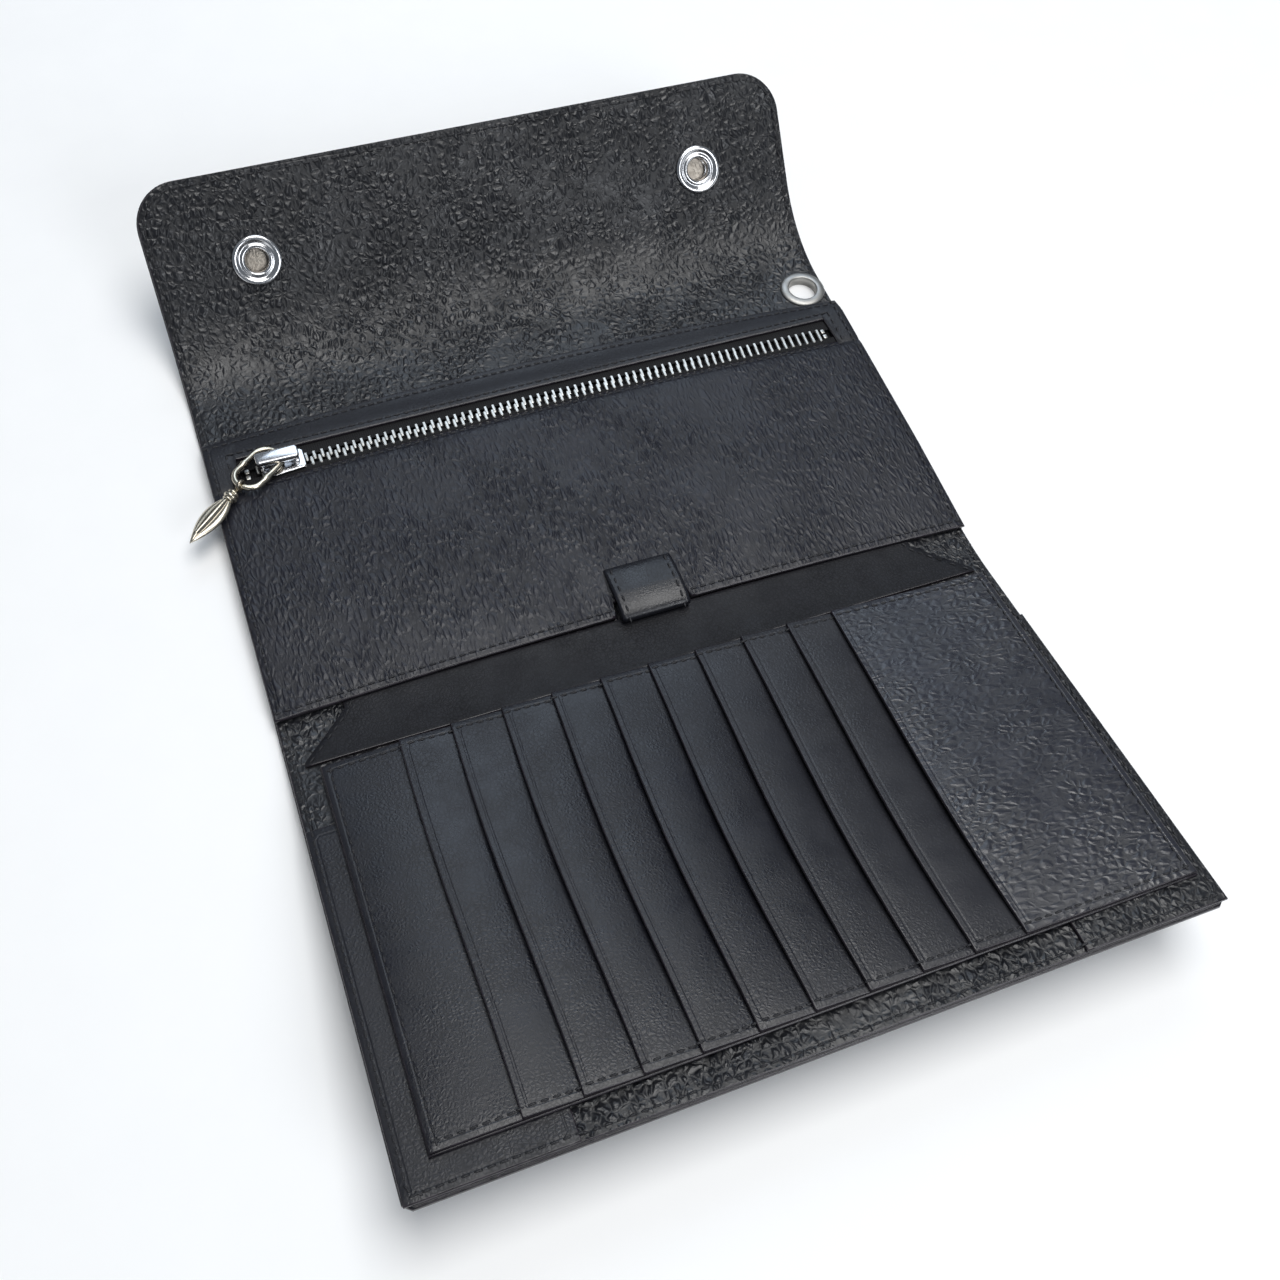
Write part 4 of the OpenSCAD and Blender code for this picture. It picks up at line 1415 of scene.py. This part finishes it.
def turned_ring(name, profile, origin, segments=72):
    """A closed ring: the profile (height, radius) runs round a hole and meets itself."""
    points = []
    for k in range(segments):
        a = 2 * math.pi * k / segments
        points += [Vector(origin) + Vector((math.cos(a) * r, math.sin(a) * r, h)) * MM for h, r in profile]
    piece = add_mesh(name, points, tube_faces(segments, len(profile), closed=True))
    fix_outside(piece)
    return piece


eyelet_profile = [
    (0.02, 4.4), (2.4, 4.4), (3.0, 4.41), (3.18, 4.5), (3.25, 4.75), (3.25, 5.4), (3.17, 6.0),
    (3.0, 6.5), (2.78, 6.85), (2.5, 7.0), (2.38, 6.9), (2.36, 4.9), (0.5, 4.9), (0.5, 6.4),
    (0.3, 6.5), (0.02, 6.3),
]
eyelet = turned_ring("eyelet_rolled", eyelet_profile, (EYELET.x, EYELET.y, 0))
finish_piece(eyelet, NICKEL, "middle_panel", ("eyelet_barrel", "eyelet_washer"))

# %% [markdown]
# ## The pen loop
# What shows of the loop is a flattened tube of leather on the pocket's lower edge. It is a strip
# swept round a closed outline, soft at the corners, with a stitch line near each end.


# %% Pen loop
LOOP_DEPTH, LOOP_TALL, LOOP_WALL = 17.6, 4.85, 1.1
LOOP_S, LOOP_BASE = 124.2 + LOOP_DEPTH / 2, LINER_TOP + 0.15


def loop_outline(t, shrink):
    """A soft D: round in front where it turns under, sloping down towards the back."""
    a = 2 * math.pi * t
    c, n = math.cos(a), math.sin(a)
    x = math.copysign(abs(c) ** (0.85 if c < 0 else 0.5), c) * (LOOP_DEPTH / 2 - shrink)
    y = math.copysign(abs(n) ** 0.8, n) * (LOOP_TALL / 2 - shrink)
    fall = 0.13 * max(0.0, x + 1) if y > 0 else 0
    return LOOP_S + x, LOOP_BASE + LOOP_TALL / 2 + y - fall


def pen_loop():
    """A flattened tube of leather lying along X."""
    steps, across = 72, 22
    flat = []
    xs = np.linspace(LOOP_L + 0.6, LOOP_R - 0.6, across + 1)
    for shrink in (0.0, LOOP_WALL):
        for i, x in enumerate(xs):
            pinch = 0.25 * (1 - abs(2 * i / across - 1) ** 6) - 0.25
            for k in range(steps):
                flat.append((x, *loop_outline(k / steps, shrink - pinch * (0.5 if shrink == 0 else 0))))
    flat = np.array(flat)
    faces = []
    ring = (across + 1) * steps
    for shell in (0, 1):
        for i in range(across):
            for k in range(steps):
                a = shell * ring + i * steps + k
                b = shell * ring + i * steps + (k + 1) % steps
                quad = (a, b, b + steps, a + steps)
                faces.append(quad[::-1] if shell == 0 else quad)
    for end in (0, across):
        for k in range(steps):
            a, b = end * steps + k, end * steps + (k + 1) % steps
            quad = (a, b, ring + b, ring + a)
            faces.append(quad if end == 0 else quad[::-1])
    mesh = mesh_of("pen_loop_strap", lay(flat[:, 0], flat[:, 1], flat[:, 2]), faces)
    edge = np.minimum(flat[:, 0] - xs[0], xs[-1] - flat[:, 0])
    write_attributes(mesh, np.stack([flat[:, 0], flat[:, 1] + flat[:, 2], flat[:, 2]], 1), edge)
    piece = show("pen_loop_strap", mesh)
    fix_outside(piece)
    return finish_piece(piece, LOOP_HIDE, "middle_panel", ("pen_loop",))


print("loop faces:", len(pen_loop().data.polygons))

# %% [markdown]
# ## Stitching
# Stitches run about two millimetres inside every edge, three or four to the centimetre. The same
# tree that places the teeth places them: one short plump thread, repeated along each seam's path
# on the leather and tilted a little at random.


# %% Seams
STITCH_PITCH = 2.62
THREAD_PIECE = stitch_model([
    (-1.02, 0.10, 0.08, -0.22), (-0.8, 0.24, 0.2, -0.03), (-0.35, 0.29, 0.24, 0.07),
    (0.35, 0.29, 0.24, 0.07), (0.8, 0.24, 0.2, -0.03), (1.02, 0.10, 0.08, -0.22),
])


def seam(name, paths, body=None, bend=None):
    row = repeat_along(name, paths, THREAD_PIECE, STITCH_PITCH, THREAD, 0.07)
    return finish_piece(row, THREAD, body, bend=bend)


def on_liner(x, s):
    return np.full(np.shape(x), LINER_TOP + 0.02)


def line(xs, ss, height):
    xs, ss = np.broadcast_arrays(np.asarray(xs, float), np.asarray(ss, float))
    return np.stack([xs, ss, height(xs, ss)], 1)


def rim_height(x, s):
    """Where the outer seam lies: on the underlays low down, on the liner above them."""
    return np.where(s < UNDER_TOP, LINER_TOP + 0.97, LINER_TOP + 0.02)


SEAM_IN = 2.0
for k, bend in enumerate(BENDS):
    rows = hide_rows(bend[2], bend[3], SEAM_IN)
    rows = rows[(rows < POCKET_LOW - 0.5) | (rows > 216.0)]
    parts = [p for p in np.split(rows, np.where(np.diff(rows) > 8.0)[0] + 1) if len(p) > 1]
    paths = [
        line(side * half_width(part, SEAM_IN), part, rim_height) for side in (-1, 1) for part in parts
    ]
    if k == 3:
        reach = HALF_W - FLAP_CORNER - 0.3
        paths.append(line(np.linspace(-reach, reach, 40), S_END - SEAM_IN, on_liner))
    if k == 0:
        for x0, x1, h in (
            (-HALF_W + 3, -UNDER_IN, rim_height),
            (-UNDER_IN + 1, UNDER_IN - 1, on_liner),
            (UNDER_IN, HALF_W - 3, rim_height),
        ):
            paths.append(line(np.linspace(x0, x1, 30), SEAM_IN, h))
    seam(f"rim_seam_{k + 1}", paths, bend=bend)

LEAF_IN = 2.0


def leaf_top_height(x, s):
    """Height of whichever card piece is uppermost at each point."""
    result = []
    for xx, ss in zip(np.atleast_1d(x), np.atleast_1d(s)):
        i = sum(1 for k in range(SLOTS + 1) if xx >= slot_edge(k, ss))
        result.append(float(leaf_height(i, xx, ss)) + 0.02)
    return np.array(result)


xs = np.linspace(LEAF_L + LEAF_IN, LEAF_R - LEAF_IN, 400)
ss = np.linspace(LEAF_LOW + LEAF_IN, LEAF_TOP - LEAF_IN - 1.2, 60)
seam("leaf_seam", [
    line(xs, LEAF_LOW + LEAF_IN, leaf_top_height),
    line(xs, leaf_bow(xs) - LEAF_IN, leaf_top_height),
    line(LEAF_L + LEAF_IN, ss, leaf_top_height),
    line(LEAF_R - LEAF_IN, ss, leaf_top_height),
], body="card_leaf")

face_top = lambda x, s: pocket_crown(x, s) + 0.02
band_face = lambda x, s: band_height(x, s) + 0.02
left_low = np.linspace(-HALF_W + 1.5, LOOP_L - 2.0, 60)
right_low = np.linspace(LOOP_R + 2.0, HALF_W - 1.5, 60)
side_s = np.linspace(POCKET_LOW + 3.5, POCKET_TOP - 1.0, 60)
window_x = np.linspace(WINDOW_L - 1.0, WINDOW_R + 1.0, 120)
top_x = np.linspace(-HALF_W + 1.5, HALF_W - 1.5, 120)
band_side = np.linspace(POCKET_TOP + 1.0, 212.0, 12)
window_side = np.linspace(POCKET_TOP + 1.2, WINDOW_HIGH + 1.6, 10)
seam("pocket_seam", [
    line(left_low, pocket_low(left_low) + SEAM_IN, face_top),
    line(right_low, pocket_low(right_low) + SEAM_IN, face_top),
    line(-HALF_W + SEAM_IN, side_s, face_top),
    line(HALF_W - SEAM_IN, side_s, face_top),
    line(window_x, pocket_high(window_x) - 1.6, face_top),
    line(window_x, band_low(np.zeros(120)) + 1.7, band_face),
    line(WINDOW_L - 2.2, window_side, band_face),
    line(WINDOW_R + 2.2, window_side, band_face),
    line(top_x, band_top(top_x) - 1.7, band_face),
    line(-HALF_W + SEAM_IN, band_side, band_face),
    line(HALF_W - SEAM_IN, band_side, band_face),
], body="middle_panel")


def tab_line(side, s0, s1):
    s = np.linspace(s0, s1, 14)
    return line(side * (tab_half(s) - 1.8), s, lambda x, ss: np.full(np.shape(x), TAB_TOP + 0.02))


turns = np.linspace(0.06, 0.47, 40)
loop_run = np.array([loop_outline(t, -0.03) for t in turns])
loop_paths = [np.column_stack([np.full(len(turns), x), loop_run]) for x in (LOOP_L + 2.4, LOOP_R - 2.4)]
seam("loop_seam", loop_paths, body="middle_panel")
for name, bend, s0, s1 in (
    ("tab_seam_low", BENDS[0], TAB_LOW + 1.5, middle_of_spine),
    ("tab_seam_high", BENDS[1], middle_of_spine, TAB_HIGH - 2.0),
):
    seam(name, [tab_line(side, s0, s1) for side in (-1, 1)], bend=bend)
for model in MODELS:
    bpy.data.objects.remove(model)

# %% [markdown]
# ## The floor
# A pale, matt table lies under the wallet and keeps its shadow soft.


# %% Floor
def table_top():
    f = Finish("pale_table", IOR=1.45)
    speck = f.noise(f.place((60, 60, 60)), 1.0, 3.0)
    f.set("Base Color", f.blend_colours(speck, (0.93, 0.93, 0.93, 1), (0.96, 0.96, 0.958, 1)))
    f.set("Roughness", speck * 0.1 + 0.55)
    mesh = mesh_of("table", [(-4, -4, 0), (4, -4, 0), (4, 4, 0), (-4, 4, 0)], [(0, 1, 2, 3)], smooth=False)
    mesh.materials.append(f.material)
    show("table", mesh)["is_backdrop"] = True


table_top()
print("floor laid")

# %% [markdown]
# ## Light
# Three soft lamps light the wallet: a strong one overhead, a cooler one behind it and a small one
# in front, with a little light from all round. Their places and strengths were set one by one.


# %% Light
def lamp(name, at, aim, size, power, tint=(1, 1, 1)):
    data = bpy.data.lights.new(name, "AREA")
    data.shape, data.size, data.energy, data.color = "SQUARE", size, power, tint
    light = show(name, data)
    turn = (Vector(aim) - Vector(at)).to_track_quat("-Z", "Y").to_matrix().to_4x4()
    light.matrix_world = Matrix.Translation(Vector(at)) @ turn


world = bpy.data.worlds.new("studio")
world.use_nodes = True
sky = world.node_tree.nodes["Background"].inputs
sky["Color"].default_value = (0.80, 0.89, 1.0, 1)
sky["Strength"].default_value = 0.20
bpy.context.scene.world = world
bpy.context.scene.view_settings.view_transform = "Standard"
lamp("key", (0.30, 0.95, 0.95), (0, 0, 0), 0.75, 3.8, (0.74, 0.86, 1.0))
lamp("top", (0.22, 0.02, 1.35), (0.03, 0.03, 0), 0.95, 14.6, (1.0, 0.99, 0.972))
lamp("front", (0.35, -0.95, 0.65), (0, 0.08, 0.03), 0.45, 4.0, (0.93, 0.96, 1.0))
print("lamps:", len(bpy.data.lights))

# %% [markdown]
# ## Sizes
# The model's box is measured.
# %% Sizes, and done
low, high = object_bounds()
